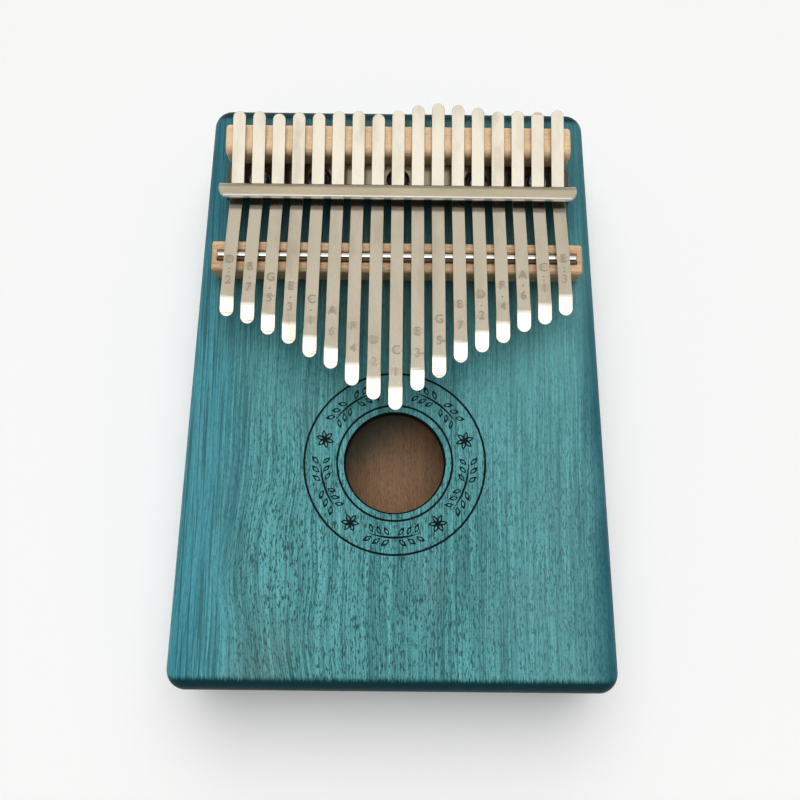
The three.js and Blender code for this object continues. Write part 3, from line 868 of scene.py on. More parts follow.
def bracket_highlight_and_shade(paint):
    """Paints a highlight along the bracket's front edge, and paints shade on its foot under the tines."""
    tree, shader, bright, (x, y, z) = painted_so_far(paint)
    front = bracket_low.y / MM
    front_highlight = spread(tree, y, front + HIGHLIGHT_WIDTH, front + HIGHLIGHT_WIDTH / 2)
    foot = spread(tree, z, bracket_low.z / MM + FOOT_TOP[0], bracket_low.z / MM + FOOT_TOP[1])
    outward = spread(tree, maths(tree, "ABSOLUTE", x), *FOOT_OUTWARD)
    painted_shade = maths(tree, "MULTIPLY_ADD", outward, FOOT_SHADE_MORE, FOOT_SHADE_MIDDLE)
    color = blend_colors(tree, maths(tree, "MULTIPLY", foot, painted_shade), bright, FOOT_SHADE)
    feed(tree, shader.inputs["Base Color"], blend_colors(tree, front_highlight, color, FRONT_EDGE_HIGHLIGHT))
    highlight_weight = maths(tree, "MULTIPLY", front_highlight, HIGHLIGHT_SHARE)
    feed(tree, shader.inputs["Metallic"], maths(tree, "SUBTRACT", 1, highlight_weight))


rod_bright_line = rod_axis.z + (rod_high.z - rod_axis.z) * ROD_BRIGHT_SHARE
# painted shade on the rod below its top
paint_shade_below(polished_rod, rod_bright_line, ROD_BRIGHT_SOFT, ROD_SHADE)
# painted highlight on the bracket's front edge, painted shade on its foot
bracket_highlight_and_shade(nickel_plate)
print("rod bright above mm:", round(rod_bright_line / MM, 2))

# %% [markdown]
# ## Helpers for meshes
# Most of the hard pieces are a stack of outlines with skin between them, like the layers of a boat.
# The first helper takes such a stack and closes both ends, or joins the last outline to the first, as
# a frame needs it. Stacks and filled curves can have points that coincide, so they are welded. Others
# cut one solid with another and bake the modifiers into a plain mesh, because the finished pieces
# carry none. One counts the open edges, which have to be none. The last ones make a solid of a filled
# curve, for sheets with holes and for letters.

# %% Mesh helpers
WELD = 0.0005 * MM
SMOOTH_BELOW = 38
BEVEL_STEPS = 4


def new_object(name, mesh):
    piece = bpy.data.objects.new(name, mesh)
    bpy.context.scene.collection.objects.link(piece)
    return piece


def skin_between(low, high, count):
    """Faces between two rings of as many points, from the number of each ring's first point."""
    for side in range(count):
        beside = (side + 1) % count
        yield (low + side, low + beside, high + beside, high + side)


def stacked_mesh(name, rings, paint=None, is_frame=False):
    points = [point for ring in rings for point in ring]
    count = len(rings[0])
    starts = range(0, len(points), count)
    faces = [] if is_frame else [tuple(reversed(range(count)))]
    for low, high in zip(starts, starts[1:]):
        faces += skin_between(low, high, count)
    if is_frame:
        faces += skin_between(starts[-1], 0, count)
    else:
        faces.append(tuple(range(starts[-1], len(points))))
    mesh = bpy.data.meshes.new(name)
    mesh.from_pydata(points, [], faces)
    if paint:
        mesh.materials.append(paint)
    return face_outwards(mesh)


def face_outwards(mesh):
    work = bmesh.new()
    work.from_mesh(mesh)
    bmesh.ops.remove_doubles(work, verts=work.verts, dist=WELD)
    bmesh.ops.recalc_face_normals(work, faces=work.faces)
    if work.calc_volume(signed=True) < 0:
        bmesh.ops.reverse_faces(work, faces=work.faces)
    work.to_mesh(mesh)
    work.free()
    return mesh


def baked(piece):
    bpy.context.view_layer.update()
    evaluated = piece.evaluated_get(bpy.context.evaluated_depsgraph_get())
    mesh = bpy.data.meshes.new_from_object(evaluated)
    piece.modifiers.clear()
    piece.data = mesh
    return piece


def carve(piece, cutter):
    cut = piece.modifiers.new("carve", "BOOLEAN")
    cut.operation = "DIFFERENCE"
    cut.solver = "EXACT"
    cut.material_mode = "TRANSFER"
    cut.object = cutter
    baked(piece)
    bpy.data.objects.remove(cutter)
    return piece


def finish_surface(piece, smooth_below=SMOOTH_BELOW):
    piece.data.shade_smooth()
    piece.data.set_sharp_from_angle(angle=math.radians(smooth_below))
    even = piece.modifiers.new("even", "WEIGHTED_NORMAL")
    even.keep_sharp = True
    return baked(piece)


def report(piece):
    work = bmesh.new()
    work.from_mesh(piece.data)
    open_edges = sum(1 for edge in work.edges if not edge.is_manifold)
    volume = work.calc_volume(signed=True) / MM ** 3
    print(f"{piece.name}: {len(work.faces)} faces, {open_edges} open edges, {volume:.0f} cubic mm")
    work.free()


def mesh_of_curve(name, curve):
    """A filled curve or a letter as a plain mesh."""
    scaffold = new_object(name, curve)
    bpy.context.view_layer.update()
    mesh = bpy.data.meshes.new_from_object(scaffold.evaluated_get(bpy.context.evaluated_depsgraph_get()))
    bpy.data.objects.remove(scaffold)
    return mesh


print("welds points closer than mm:", WELD / MM)


# %% Outlines and the solids made of them
def flat_solid(name, outlines, thickness, broken):
    """A flat sheet with holes, drawn as a filled curve, with its edges broken."""
    curve = bpy.data.curves.new(name, "CURVE")
    curve.dimensions = "2D"
    curve.fill_mode = "BOTH"
    curve.extrude = thickness / 2 - broken
    curve.bevel_depth = broken
    curve.bevel_resolution = BEVEL_STEPS
    curve.offset = -broken
    for outline in outlines:
        spline = curve.splines.new("POLY")
        spline.points.add(len(outline) - 1)
        for point, (x, y) in zip(spline.points, outline):
            point.co = (x, y, 0, 1)
        spline.use_cyclic_u = True
    return mesh_of_curve(name, curve)


def arc(centre, radius, start, end, steps):
    turns = [start + (end - start) * step / steps for step in range(steps + 1)]
    return [(centre[0] + radius * math.cos(turn), centre[1] + radius * math.sin(turn)) for turn in turns]


print("a broken edge gets strips:", BEVEL_STEPS)

# %% [markdown]
# ## Sound box
# The box is two plates glued to a rim of straight walls, all of one outline that tapers towards the
# head. Its outer edges are rounded over with a router, and a hair-fine chamfer stays at each glue
# line. The outline is four arcs, and the plates stack it at rising insets.

# %% Box outline
FOOT_WIDTH = 134.5 * MM
SIDE_TAPER = 6 * MM
CORNER_RADIUS = 6 * MM
INNER_CORNER = 5 * MM
WALL = 8 * MM
SEAM_CHAMFER = 0.15 * MM
FLAT_MARGIN = 0.6 * MM
CORNER_STEPS = 20
ROUND_STEPS = 12
QUARTER = math.pi / 2


def box_outline(inset, radius):
    head_width = FOOT_WIDTH - 2 * SIDE_TAPER
    lean = math.atan2(SIDE_TAPER, box_length)
    keep = inset + radius
    reach = box_length / 2 - keep

    def middle(y):
        half = (FOOT_WIDTH + head_width) / 4 - y * SIDE_TAPER / box_length
        return half - keep / math.cos(lean)

    foot, head = middle(-reach), middle(reach)
    return (
        arc((foot, -reach), radius, -QUARTER, lean, CORNER_STEPS)
        + arc((head, reach), radius, lean, QUARTER, CORNER_STEPS)
        + arc((-head, reach), radius, QUARTER, math.pi - lean, CORNER_STEPS)
        + arc((-foot, -reach), radius, math.pi - lean, math.pi + QUARTER, CORNER_STEPS)
    )


def ring_at(inset, z):
    return [(x, y, z) for x, y in box_outline(inset, max(CORNER_RADIUS - inset, EDGE_ROUND / 2))]


def bare_inside(mesh, is_inside):
    """Gives the undyed wood to the faces that lie inside the box."""
    mesh.materials.append(plain_mahogany)
    for face in mesh.polygons:
        if is_inside(face):
            face.material_index = len(mesh.materials) - 1
    return mesh


def plate_rings(seam, face):
    """Rings from the glue line, at height seam, to the rounded outer face."""
    up = 1 if face > seam else -1
    rings = [ring_at(SEAM_CHAMFER, seam), ring_at(0, seam + up * SEAM_CHAMFER)]
    for step in range(ROUND_STEPS + 1):
        turn = QUARTER * step / ROUND_STEPS
        inset = EDGE_ROUND * (1 - math.cos(turn))
        rings.append(ring_at(inset, face - up * EDGE_ROUND * (1 - math.sin(turn))))
    rings.append(ring_at(EDGE_ROUND + FLAT_MARGIN, face))
    return rings


print("box width at the foot in mm:", round(FOOT_WIDTH / MM, 1))

# %% [markdown]
# ### Holes
# A drill leaves a sharp edge, which a maker breaks with sandpaper. The cutter is turned on a lathe
# with a flare at the level of each face, so that subtracting it cuts the hole and its soft edge at
# once.

# %% Hole cutter
HOLE_SIDES = 128
CUT_PAST = 1 * MM
FLARE_STEPS = 5


def turned_rings(profile, sides, place=(0, 0, 0)):
    x, y, z = place
    rings = []
    for radius, height in profile:
        circle = arc((x, y), radius, 0, 2 * math.pi, sides)[:-1]
        rings.append([(px, py, z + height) for px, py in circle])
    return rings


def turned_solid(name, profile, sides, paint, place=(0, 0, 0)):
    return new_object(name, stacked_mesh(name, turned_rings(profile, sides, place), paint))


def hole_cutter(x, y, radius, low, high, soft, paint, sides=HOLE_SIDES):
    profile = [(radius + soft, low - CUT_PAST)]
    for step in range(FLARE_STEPS + 1):
        turn = QUARTER * step / FLARE_STEPS
        profile.append((radius + soft * (1 - math.sin(turn)), low + soft * (1 - math.cos(turn))))
    for step in range(FLARE_STEPS + 1):
        turn = QUARTER * step / FLARE_STEPS
        profile.append((radius + soft * (1 - math.cos(turn)), high - soft * (1 - math.sin(turn))))
    profile.append((radius + soft, high + CUT_PAST))
    return turned_solid("hole_cutter", profile, sides, paint, (x, y, 0))


print("cutter sides:", HOLE_SIDES)

# %% Top plate
SOUND_HOLE_RADIUS = 15.25 * MM
SOUND_HOLE_SOFT = 0.45 * MM
TIP_OVER_HOLE = 0.85 * MM
FACES_FLAT = 0.9
plate_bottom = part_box("top_plate")[0].z

sound_hole_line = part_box("tine_09_C4_tongue")[0].y + TIP_OVER_HOLE - SOUND_HOLE_RADIUS
top_mesh = stacked_mesh("top_plate", plate_rings(plate_bottom, deck), dyed_mahogany)
bare_inside(top_mesh, lambda face: face.normal.z < -FACES_FLAT)
top_plate = new_object("top_plate_dressed", top_mesh)
sound_hole = hole_cutter(
    0, sound_hole_line, SOUND_HOLE_RADIUS, plate_bottom, deck, SOUND_HOLE_SOFT, burnt_wood
)
carve(top_plate, sound_hole)
print("sound hole line in mm:", round(sound_hole_line / MM, 2))

# %% Copies on points
def copies_tree():
    tree, given, out = group_tree(
        "copies_on_points",
        "GeometryNodeTree",
        [("Geometry", GEOMETRY), ("Piece", "NodeSocketObject"), ("Turn", NUMBER), ("Finish", MATERIAL)],
        [("Geometry", GEOMETRY)],
    )
    source = wired(tree, "GeometryNodeObjectInfo", Object=given.outputs["Piece"])
    number = add_node(tree, "GeometryNodeInputIndex")
    angle = maths(tree, "MULTIPLY", number.outputs[0], given.outputs["Turn"])
    turn = wired(tree, "ShaderNodeCombineXYZ", Z=angle)
    spots = wired(tree, "GeometryNodeMeshToPoints", Mesh=given.outputs["Geometry"])
    copies = add_node(tree, "GeometryNodeInstanceOnPoints")
    feed(tree, copies.inputs["Points"], spots.outputs["Points"])
    feed(tree, copies.inputs["Instance"], source.outputs["Geometry"])
    feed(tree, copies.inputs["Rotation"], turn.outputs[0])
    real = wired(tree, "GeometryNodeRealizeInstances", Geometry=copies.outputs["Instances"])
    painted = add_node(tree, "GeometryNodeSetMaterial")
    feed(tree, painted.inputs["Geometry"], real.outputs["Geometry"])
    feed(tree, painted.inputs["Material"], given.outputs["Finish"])
    feed(tree, out.inputs["Geometry"], painted.outputs["Geometry"])
    return tree


def grown(piece, tree, **values):
    """Runs a geometry tree on a piece and keeps the result as its plain mesh."""
    modifier = piece.modifiers.new(tree.name, "NODES")
    modifier.node_group = tree
    sockets = {item.name: item.identifier for item in tree.interface.items_tree if item.in_out == "INPUT"}
    for label, value in values.items():
        modifier[sockets[label.replace("_", " ")]] = value
    return baked(piece)


copies_on_points = copies_tree()
print("copies tree nodes:", len(copies_on_points.nodes))

# %% [markdown]
# ### Burnt ring
# A laser has burnt a ring round the sound hole: two circles, with five small flowers between them and
# a sprig of leaves between each two flowers. A flower and a sprig are drawn once as flat outlines. A
# geometry tree then sets five turned copies of them on the ring's centre, and the deck is carved with
# the result, a hair deep, so that the lines keep the dark finish of the cutter.

# %% Flower and sprig
RING_RADII = (17.64 * MM, 27.73 * MM)
RING_LINE = 0.66 * MM
MOTIF_RADIUS = 22.6 * MM
MOTIF_COUNT = 5
MOTIF_TURN = 2 * math.pi / MOTIF_COUNT
FLOWER_ANGLE = math.radians(18)
PETALS = 6
PETAL_LENGTH = 2.9 * MM
PETAL_HALF = 0.72 * MM
PETAL_VALLEY = 0.47
PETAL_HEART = (0.27, 0.78)
HEART_HALF = 0.29 * MM
STEM_REACH = 8.6 * MM
STEM_HALF = 0.34 * MM
LEAF_PLACES = (-6.6, -4.0, -1.4, 1.4, 4.0, 6.6)
LEAF_BASE = 0.55 * MM
LEAF_LENGTH = 3.1 * MM
LEAF_HALF = 0.68 * MM
LEAF_ANGLE = math.radians(48)
LEAF_VEIN = (LEAF_LENGTH / 5, LEAF_LENGTH / 2, LEAF_HALF / 2)
OUTLINE_STEPS = 14


def almond(start, length, half, steps=OUTLINE_STEPS):
    """A pointed oval along x, as a closed outline."""
    near = []
    far = []
    for step in range(steps):
        out = half * math.sin(math.pi * step / steps)
        near.append((start + length * step / steps, -out))
        far.append((start + length - length * step / steps, out))
    return near + far


def turned(points, angle, shift=(0, 0)):
    cosine, sine = math.cos(angle), math.sin(angle)
    return [(x * cosine - y * sine + shift[0], x * sine + y * cosine + shift[1]) for x, y in points]


def petal_edge():
    """The part of a petal beyond the valley that it shares with the next one."""
    shares = [PETAL_VALLEY + (1 - PETAL_VALLEY) * step / OUTLINE_STEPS for step in range(OUTLINE_STEPS + 1)]
    near = [(PETAL_LENGTH * share, -PETAL_HALF * math.sin(math.pi * share)) for share in shares]
    return near + [(x, -y) for x, y in reversed(near[:-1])]


def flower_outlines():
    middle = (MOTIF_RADIUS * math.cos(FLOWER_ANGLE), MOTIF_RADIUS * math.sin(FLOWER_ANGLE))
    rim = []
    hearts = []
    heart_start, heart_end = (PETAL_LENGTH * share for share in PETAL_HEART)
    for petal in range(PETALS):
        angle = FLOWER_ANGLE + petal * 2 * math.pi / PETALS
        rim += turned(petal_edge(), angle, middle)
        hearts.append(turned(almond(heart_start, heart_end - heart_start, HEART_HALF), angle, middle))
    return [rim] + hearts


def round_the_ring(points, angle):
    """Bends outlines drawn along a straight stem round the ring."""
    bent = []
    for along, out in points:
        turn = angle - along / MOTIF_RADIUS
        bent.append(((MOTIF_RADIUS + out) * math.cos(turn), (MOTIF_RADIUS + out) * math.sin(turn)))
    return bent


def sprig_outlines():
    angle = FLOWER_ANGLE + MOTIF_TURN / 2
    outlines = [almond(-STEM_REACH, 2 * STEM_REACH, STEM_HALF, 3 * OUTLINE_STEPS)]
    for spot in LEAF_PLACES:
        for side in (-1, 1):
            lean = LEAF_ANGLE if spot > 0 else math.pi - LEAF_ANGLE
            for shape in ((0, LEAF_LENGTH, LEAF_HALF), LEAF_VEIN):
                leaf = turned(almond(*shape), lean, (spot * MM, LEAF_BASE))
                outlines.append([(x, side * y) for x, y in leaf])
    return [round_the_ring(outline, angle) for outline in outlines]


print("outlines of one motif:", len(flower_outlines()) + len(sprig_outlines()))

# %% Burn the ring
BURN_DEPTH = 0.12 * MM
CIRCLE_STEPS = 180


def burnt_cutter(name, outlines):
    thickness = BURN_DEPTH + CUT_PAST
    mesh = flat_solid(name, outlines, thickness, 0)
    mesh.transform(Matrix.Translation((0, 0, thickness / 2 - BURN_DEPTH)))
    mesh.materials.clear()
    mesh.materials.append(burnt_wood)
    return new_object(name, face_outwards(mesh))


ring_centre = (0, sound_hole_line, deck)
circle_outlines = []
for middle_radius in RING_RADII:
    for radius in (middle_radius - RING_LINE / 2, middle_radius + RING_LINE / 2):
        circle_outlines.append(arc((0, 0), radius, 0, 2 * math.pi, CIRCLE_STEPS)[:-1])
circles = burnt_cutter("burnt_circles", circle_outlines)
circles.data.transform(Matrix.Translation(ring_centre))
motif = burnt_cutter("burnt_motif", flower_outlines() + sprig_outlines())
centres = bpy.data.meshes.new("ring_centres")
centres.from_pydata([ring_centre] * MOTIF_COUNT, [], [])
motifs = new_object("burnt_motifs", centres)
grown(motifs, copies_on_points, Piece=motif, Turn=MOTIF_TURN, Finish=burnt_wood)
bpy.data.objects.remove(motif)
for cutter in (circles, motifs):
    carve(top_plate, cutter)
print("deck faces after burning:", len(top_plate.data.polygons))

# %% Rim
rim_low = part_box("side_rim")[0].z
rim_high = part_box("side_rim")[1].z


def rim_mesh():
    outer = [ring_at(SEAM_CHAMFER, rim_low), ring_at(0, rim_low + SEAM_CHAMFER),
             ring_at(0, rim_high - SEAM_CHAMFER), ring_at(SEAM_CHAMFER, rim_high)]
    inner = [[(x, y, z) for x, y in box_outline(WALL, INNER_CORNER)] for z in (rim_high, rim_low)]
    mesh = stacked_mesh("side_rim", outer + inner, dyed_mahogany, is_frame=True)
    return bare_inside(mesh, lambda face: face.normal.dot(face.center * Vector((1, 1, 0))) < 0)


side_rim = new_object("side_rim_dressed", rim_mesh())

# %% Back plate
FINGER_HOLE_RADIUS = 4.5 * MM
FINGER_HOLE_SPACING = 62 * MM
FINGER_HOLE_REACH = 26 * MM
FINGER_HOLE_SOFT = 0.6 * MM
FINGER_HOLE_SIDES = 64
back_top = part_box("back_plate")[1].z
back_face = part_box("back_plate")[0].z

back_mesh = stacked_mesh("back_plate", plate_rings(back_top, back_face), dyed_mahogany)
bare_inside(back_mesh, lambda face: face.normal.z > FACES_FLAT)
back_plate = new_object("back_plate_dressed", back_mesh)
for side in (-1, 1):
    finger_hole = hole_cutter(
        side * FINGER_HOLE_SPACING / 2, rod_axis.y - FINGER_HOLE_REACH, FINGER_HOLE_RADIUS,
        back_face, back_top, FINGER_HOLE_SOFT, dyed_mahogany, FINGER_HOLE_SIDES,
    )
    carve(back_plate, finger_hole)
for piece, node in ((top_plate, "top_plate"), (side_rim, "side_rim"), (back_plate, "back_plate")):
    finish_surface(piece)
    report(piece)
    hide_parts(node)
    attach(piece, "sound_box")

# %% [markdown]
# ## Bridges and rod
# A bridge is a bar whose section is a rectangle with two rounded top corners. Its ends are softened
# as well, so the bar is a stack of sections along its length that draw in near each end. The front
# bridge has a groove, closed at both ends, in which the rod lies half its thickness deep.

# %% Bridge bars
BRIDGE_END_ROUND = 0.8 * MM
END_STEPS = 5
SECTION_STEPS = 10
BRIDGE_MARGIN = 0.4 * MM
FRONT_BRIDGE_ROUND = 1.2 * MM
REAR_BRIDGE_ROUND = 2.5 * MM
LEAST_ROUND = 0.2 * MM


def bridge_section(near, far, top, radius, inset):
    soft = max(radius - inset, LEAST_ROUND)
    low, high = near + inset, far - inset
    crown = top - inset
    return (
        [(low, deck), (high, deck)]
        + arc((high - soft, crown - soft), soft, 0, QUARTER, SECTION_STEPS)
        + arc((low + soft, crown - soft), soft, QUARTER, math.pi, SECTION_STEPS)
    )


def along_x(name, sections, paint):
    """A solid from sections across the box, each with its place along it."""
    rings = [[(x, y, z) for y, z in section] for x, section in sections]
    return new_object(name, stacked_mesh(name, rings, paint))


def bridge_bar(name, node, radius, wood):
    low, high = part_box(node)
    half = high.x
    stations = []
    for step in range(END_STEPS + 1):
        turn = QUARTER * step / END_STEPS
        x = half - BRIDGE_END_ROUND * (1 - math.sin(turn))
        stations.append((x, BRIDGE_END_ROUND * (1 - math.cos(turn))))
    stations = stations[::-1]
    stations.append((half - BRIDGE_END_ROUND - BRIDGE_MARGIN, 0))
    places = [(-x, inset) for x, inset in stations] + [(x, inset) for x, inset in reversed(stations)]
    sections = [(x, bridge_section(low.y, high.y, high.z, radius, inset)) for x, inset in places]
    return along_x(name, sections, wood)


front_bridge = bridge_bar("front_bridge_dressed", "front_bridge", FRONT_BRIDGE_ROUND, bridge_wood)
rear_bridge = bridge_bar("rear_bridge_dressed", "rear_bridge", REAR_BRIDGE_ROUND, pale_bridge_wood)
print("bridge bars made")

# %% Groove for the rod
ROD_GAP = 0.2 * MM
GROOVE_CHAMFER = 0.35 * MM
ROD_CHAMFER = 0.5 * MM
ROD_SIDES = 96
GROOVE_STEPS = 24
rod_radius = (rod_high.z - rod_low.z) / 2
rod_half = rod_high.x


def groove_section():
    radius = rod_radius + ROD_GAP
    lip = radius + GROOVE_CHAMFER
    y, z = rod_axis.y, rod_axis.z
    below = arc((y, z), radius, math.pi, 2 * math.pi, GROOVE_STEPS)
    below[0] = (y - radius, z - GROOVE_CHAMFER)
    below[-1] = (y + radius, z - GROOVE_CHAMFER)
    return below + [(y + lip, z), (y + lip, z + CUT_PAST), (y - lip, z + CUT_PAST), (y - lip, z)]


groove_half = rod_half + ROD_GAP
groove_ends = [(x, groove_section()) for x in (-groove_half, groove_half)]
groove = along_x("groove_cutter", groove_ends, bridge_wood)
carve(front_bridge, groove)
for piece, node in ((front_bridge, "front_bridge"), (rear_bridge, "rear_bridge")):
    finish_surface(piece)
    report(piece)
    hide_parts(node)
    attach(piece, "sound_box")

# %% Saddle rod
def rod_rings():
    rings = []
    for x, radius in ((-rod_half, rod_radius - ROD_CHAMFER), (ROD_CHAMFER - rod_half, rod_radius),
                      (rod_half - ROD_CHAMFER, rod_radius), (rod_half, rod_radius - ROD_CHAMFER)):
        circle = arc((rod_axis.y, rod_axis.z), radius, 0, 2 * math.pi, ROD_SIDES)[:-1]
        rings.append([(x, y, z) for y, z in circle])
    return rings


saddle_rod = new_object("saddle_rod_dressed", stacked_mesh("saddle_rod", rod_rings(), polished_rod))
finish_surface(saddle_rod)
report(saddle_rod)
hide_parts("saddle_rod")
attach(saddle_rod, "sound_box")

# %% [markdown]
# ## Clamp bracket
# The real bracket is punched from one flat sheet and folded twice, and it is made here the same way.
# A flat curve with holes draws the blank, with its edges just broken. Cuts across it make room for
# the two folds, and then every point is carried from the flat sheet onto the folded line.

# %% Sizes of the bracket and the places of the tines
TINE_COUNT = 17
MIDDLE = 8
TINE_WIDTH = 4 * MM
TINE_THICKNESS = 0.95 * MM
FAN_STEP = 0.12
SEAT_GAP = 0.3 * MM
SHEET = 1.8 * MM
FOLD_RADIUS = 1.5 * MM
FOOT_REACH = 11.8 * MM
FOOT_CORNER = 3 * MM
LIP_CORNER = 2.4 * MM
BRACKET_OVERHANG = 2.84 * MM
CLAMP_SPAN = 21.95 * MM
CLAMP_DIP = 3.4 * MM
CLAMP_BEND = 12 * MM

web_line = bracket_high.y - FOOT_REACH
row_width = 2 * bracket_high.x - 2 * BRACKET_OVERHANG
tine_pitch = (row_width - TINE_WIDTH) / (TINE_COUNT - 1)
saddle_height = rod_high.z + SEAT_GAP + TINE_THICKNESS / 2
clamp_height = saddle_height - CLAMP_DIP
rear_rest_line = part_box("rear_bridge")[0].y + REAR_BRIDGE_ROUND
rear_rest_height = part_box("rear_bridge")[1].z + SEAT_GAP + TINE_THICKNESS / 2
print("tine pitch in mm:", round(tine_pitch / MM, 3))


# %% Folded line
def folded_line(points, radius):
    """The stretches of a line with its corners bent to a radius: straight ones and arcs."""
    stretches = []
    here = Vector(points[0])
    for corner, after in zip(points[1:-1], points[2:]):
        corner, after = Vector(corner), Vector(after)
        before = (corner - here).normalized()
        onward = (after - corner).normalized()
        turn = math.atan2(before.x * onward.y - before.y * onward.x, before.dot(onward))
        start = corner - before * radius * math.tan(abs(turn) / 2)
        stretches.append((here, before, 0, (start - here).length))
        stretches.append((start, before, turn, radius * abs(turn)))
        here = corner + onward * radius * math.tan(abs(turn) / 2)
    end = Vector(points[-1])
    stretches.append((here, (end - here).normalized(), 0, (end - here).length))
    return stretches


def along_line(stretches, distance):
    """The point and the direction at a distance along a folded line."""
    for start, direction, turn, length in stretches:
        if distance <= length or start is stretches[-1][0]:
            break
        distance -= length
    if not turn:
        return start + direction * distance, direction
    angle = turn * distance / length
    radius = length / abs(turn)
    inward = Vector((-direction.y, direction.x)) * math.copysign(1, turn)
    point = start + direction * radius * math.sin(abs(angle)) + inward * radius * (1 - math.cos(angle))
    return point, Matrix.Rotation(angle, 2) @ direction


half_sheet = SHEET / 2
bracket_line = folded_line(
    [(bracket_high.y, deck + half_sheet), (web_line, deck + half_sheet),
     (web_line, bracket_high.z - half_sheet), (bracket_low.y, bracket_high.z - half_sheet)],
    FOLD_RADIUS,
)
blank_length = sum(length for _, _, _, length in bracket_line)
print("length of the flat blank in mm:", round(blank_length / MM, 2))

# %% Flat blank with its slots and screw holes
SLOT_SIDE_GAP = 0.35 * MM
SLOT_BELOW = 0.8 * MM
SLOT_ROUND = 0.5 * MM
SCREW_HOLE = 2 * MM
SCREW_HOLE_STEPS = 32
FOOT_CORNER_STEPS = 12
SLOT_CORNER_STEPS = 4
SCREW_HEAD_RADIUS = 3.8 * MM
SCREW_WEB_GAP = 1.6 * MM
SCREW_TINES = (-7, -4, 0, 4, 7)
BROKEN_EDGE = 0.38 * MM

screw_line = web_line + half_sheet + SCREW_WEB_GAP + SCREW_HEAD_RADIUS
foot_flat, first_fold = (length for _, _, _, length in bracket_line[:2])
clamp_turn = math.atan2(CLAMP_DIP, CLAMP_SPAN) + math.atan2(
    rear_rest_height - clamp_height, rear_rest_line - web_line
)
tine_at_web = clamp_height + CLAMP_BEND * (1 / math.cos(clamp_turn / 2) - 1)


def tine_x(place, y=None):
    """Where a tine, counted from the middle one, crosses a line of the deck."""
    behind = 0 if y is None else y - web_line
    return place * tine_pitch - behind * math.tan(math.radians(place * FAN_STEP))


def rounded_box(left, right, near, far, near_radius, far_radius, steps):
    return (
        arc((right - near_radius, near + near_radius), near_radius, -QUARTER, 0, steps)
        + arc((right - far_radius, far - far_radius), far_radius, 0, QUARTER, steps)
        + arc((left + far_radius, far - far_radius), far_radius, QUARTER, math.pi, steps)
        + arc((left + near_radius, near + near_radius), near_radius, math.pi, math.pi + QUARTER, steps)
    )


def on_web(height):
    """How far up the flat blank a height of the web lies."""
    return foot_flat + first_fold + height - (deck + half_sheet + FOLD_RADIUS)


def blank_outlines():
    half = bracket_high.x
    yield rounded_box(-half, half, 0, blank_length, FOOT_CORNER, LIP_CORNER, FOOT_CORNER_STEPS)
    low = on_web(tine_at_web - TINE_THICKNESS / 2 - SLOT_BELOW)
    high = on_web(tine_at_web + TINE_THICKNESS / 2 + SEAT_GAP)
    reach = TINE_WIDTH / 2 + SLOT_SIDE_GAP
    for place in range(-MIDDLE, MIDDLE + 1):
        x = tine_x(place)
        yield rounded_box(x - reach, x + reach, low, high, SLOT_ROUND, SLOT_ROUND, SLOT_CORNER_STEPS)
    for place in SCREW_TINES:
        middle = (tine_x(place, screw_line), bracket_high.y - screw_line)
        yield arc(middle, SCREW_HOLE, 0, 2 * math.pi, SCREW_HOLE_STEPS)[:-1]


blank = flat_solid("bracket_blank", list(blank_outlines()), SHEET, BROKEN_EDGE)
print("blank faces:", len(blank.polygons))

# %% Fold the blank
FOLD_STEPS = 14


def fold_lines():
    """Distances along the blank where it needs an edge, so that it can bend."""
    walked = 0
    for _, _, turn, length in bracket_line:
        if turn:
            for step in range(FOLD_STEPS + 1):
                yield walked + length * step / FOLD_STEPS
        walked += length


def folded(mesh):
    work = bmesh.new()
    work.from_mesh(mesh)
    bmesh.ops.remove_doubles(work, verts=work.verts, dist=WELD)
    for distance in fold_lines():
        everything = work.verts[:] + work.edges[:] + work.faces[:]
        bmesh.ops.bisect_plane(work, geom=everything, plane_co=(0, distance, 0), plane_no=(0, 1, 0))
    for vertex in work.verts:
        x, distance, offset = vertex.co
        point, direction = along_line(bracket_line, distance)
        point = point + Vector((-direction.y, direction.x)) * offset
        vertex.co = (x, point.x, point.y)
    work.to_mesh(mesh)
    work.free()
    mesh.materials.clear()
    mesh.materials.append(nickel_plate)
    return face_outwards(mesh)


clamp_bracket = new_object("clamp_bracket_dressed", folded(blank))
finish_surface(clamp_bracket)
report(clamp_bracket)
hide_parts("clamp_bracket")
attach(clamp_bracket, "sound_box")

# %% [markdown]
# ## Clamp screws
# Five equal pan-head screws hold the bracket down. One is modelled, a turned body with a cross recess
# cut in its head, and a geometry tree sets a copy of it on each point of a small cloud.

# %% One screw
HEAD_RIM = 0.7 * MM
HEAD_HEIGHT = 2.4 * MM
HEAD_SOFT = 0.25 * MM
SHANK_RADIUS = 1.75 * MM
SCREW_LENGTH = 14 * MM
SCREW_POINT = 3 * MM
RECESS_LENGTH = 4.2 * MM
RECESS_WIDTH = 0.9 * MM
RECESS_DEPTH = 1.5 * MM
RECESS_FLOOR_SHARE = 0.7
THREAD_PITCH = 1.4 * MM
THREAD_DEPTH = 0.3 * MM
DOME_STEPS = 10
SCREW_SIDES = 40
POINT_RADIUS = 0.05 * MM
CROWN_RADIUS = 0.1 * MM
foot_top = deck + SHEET


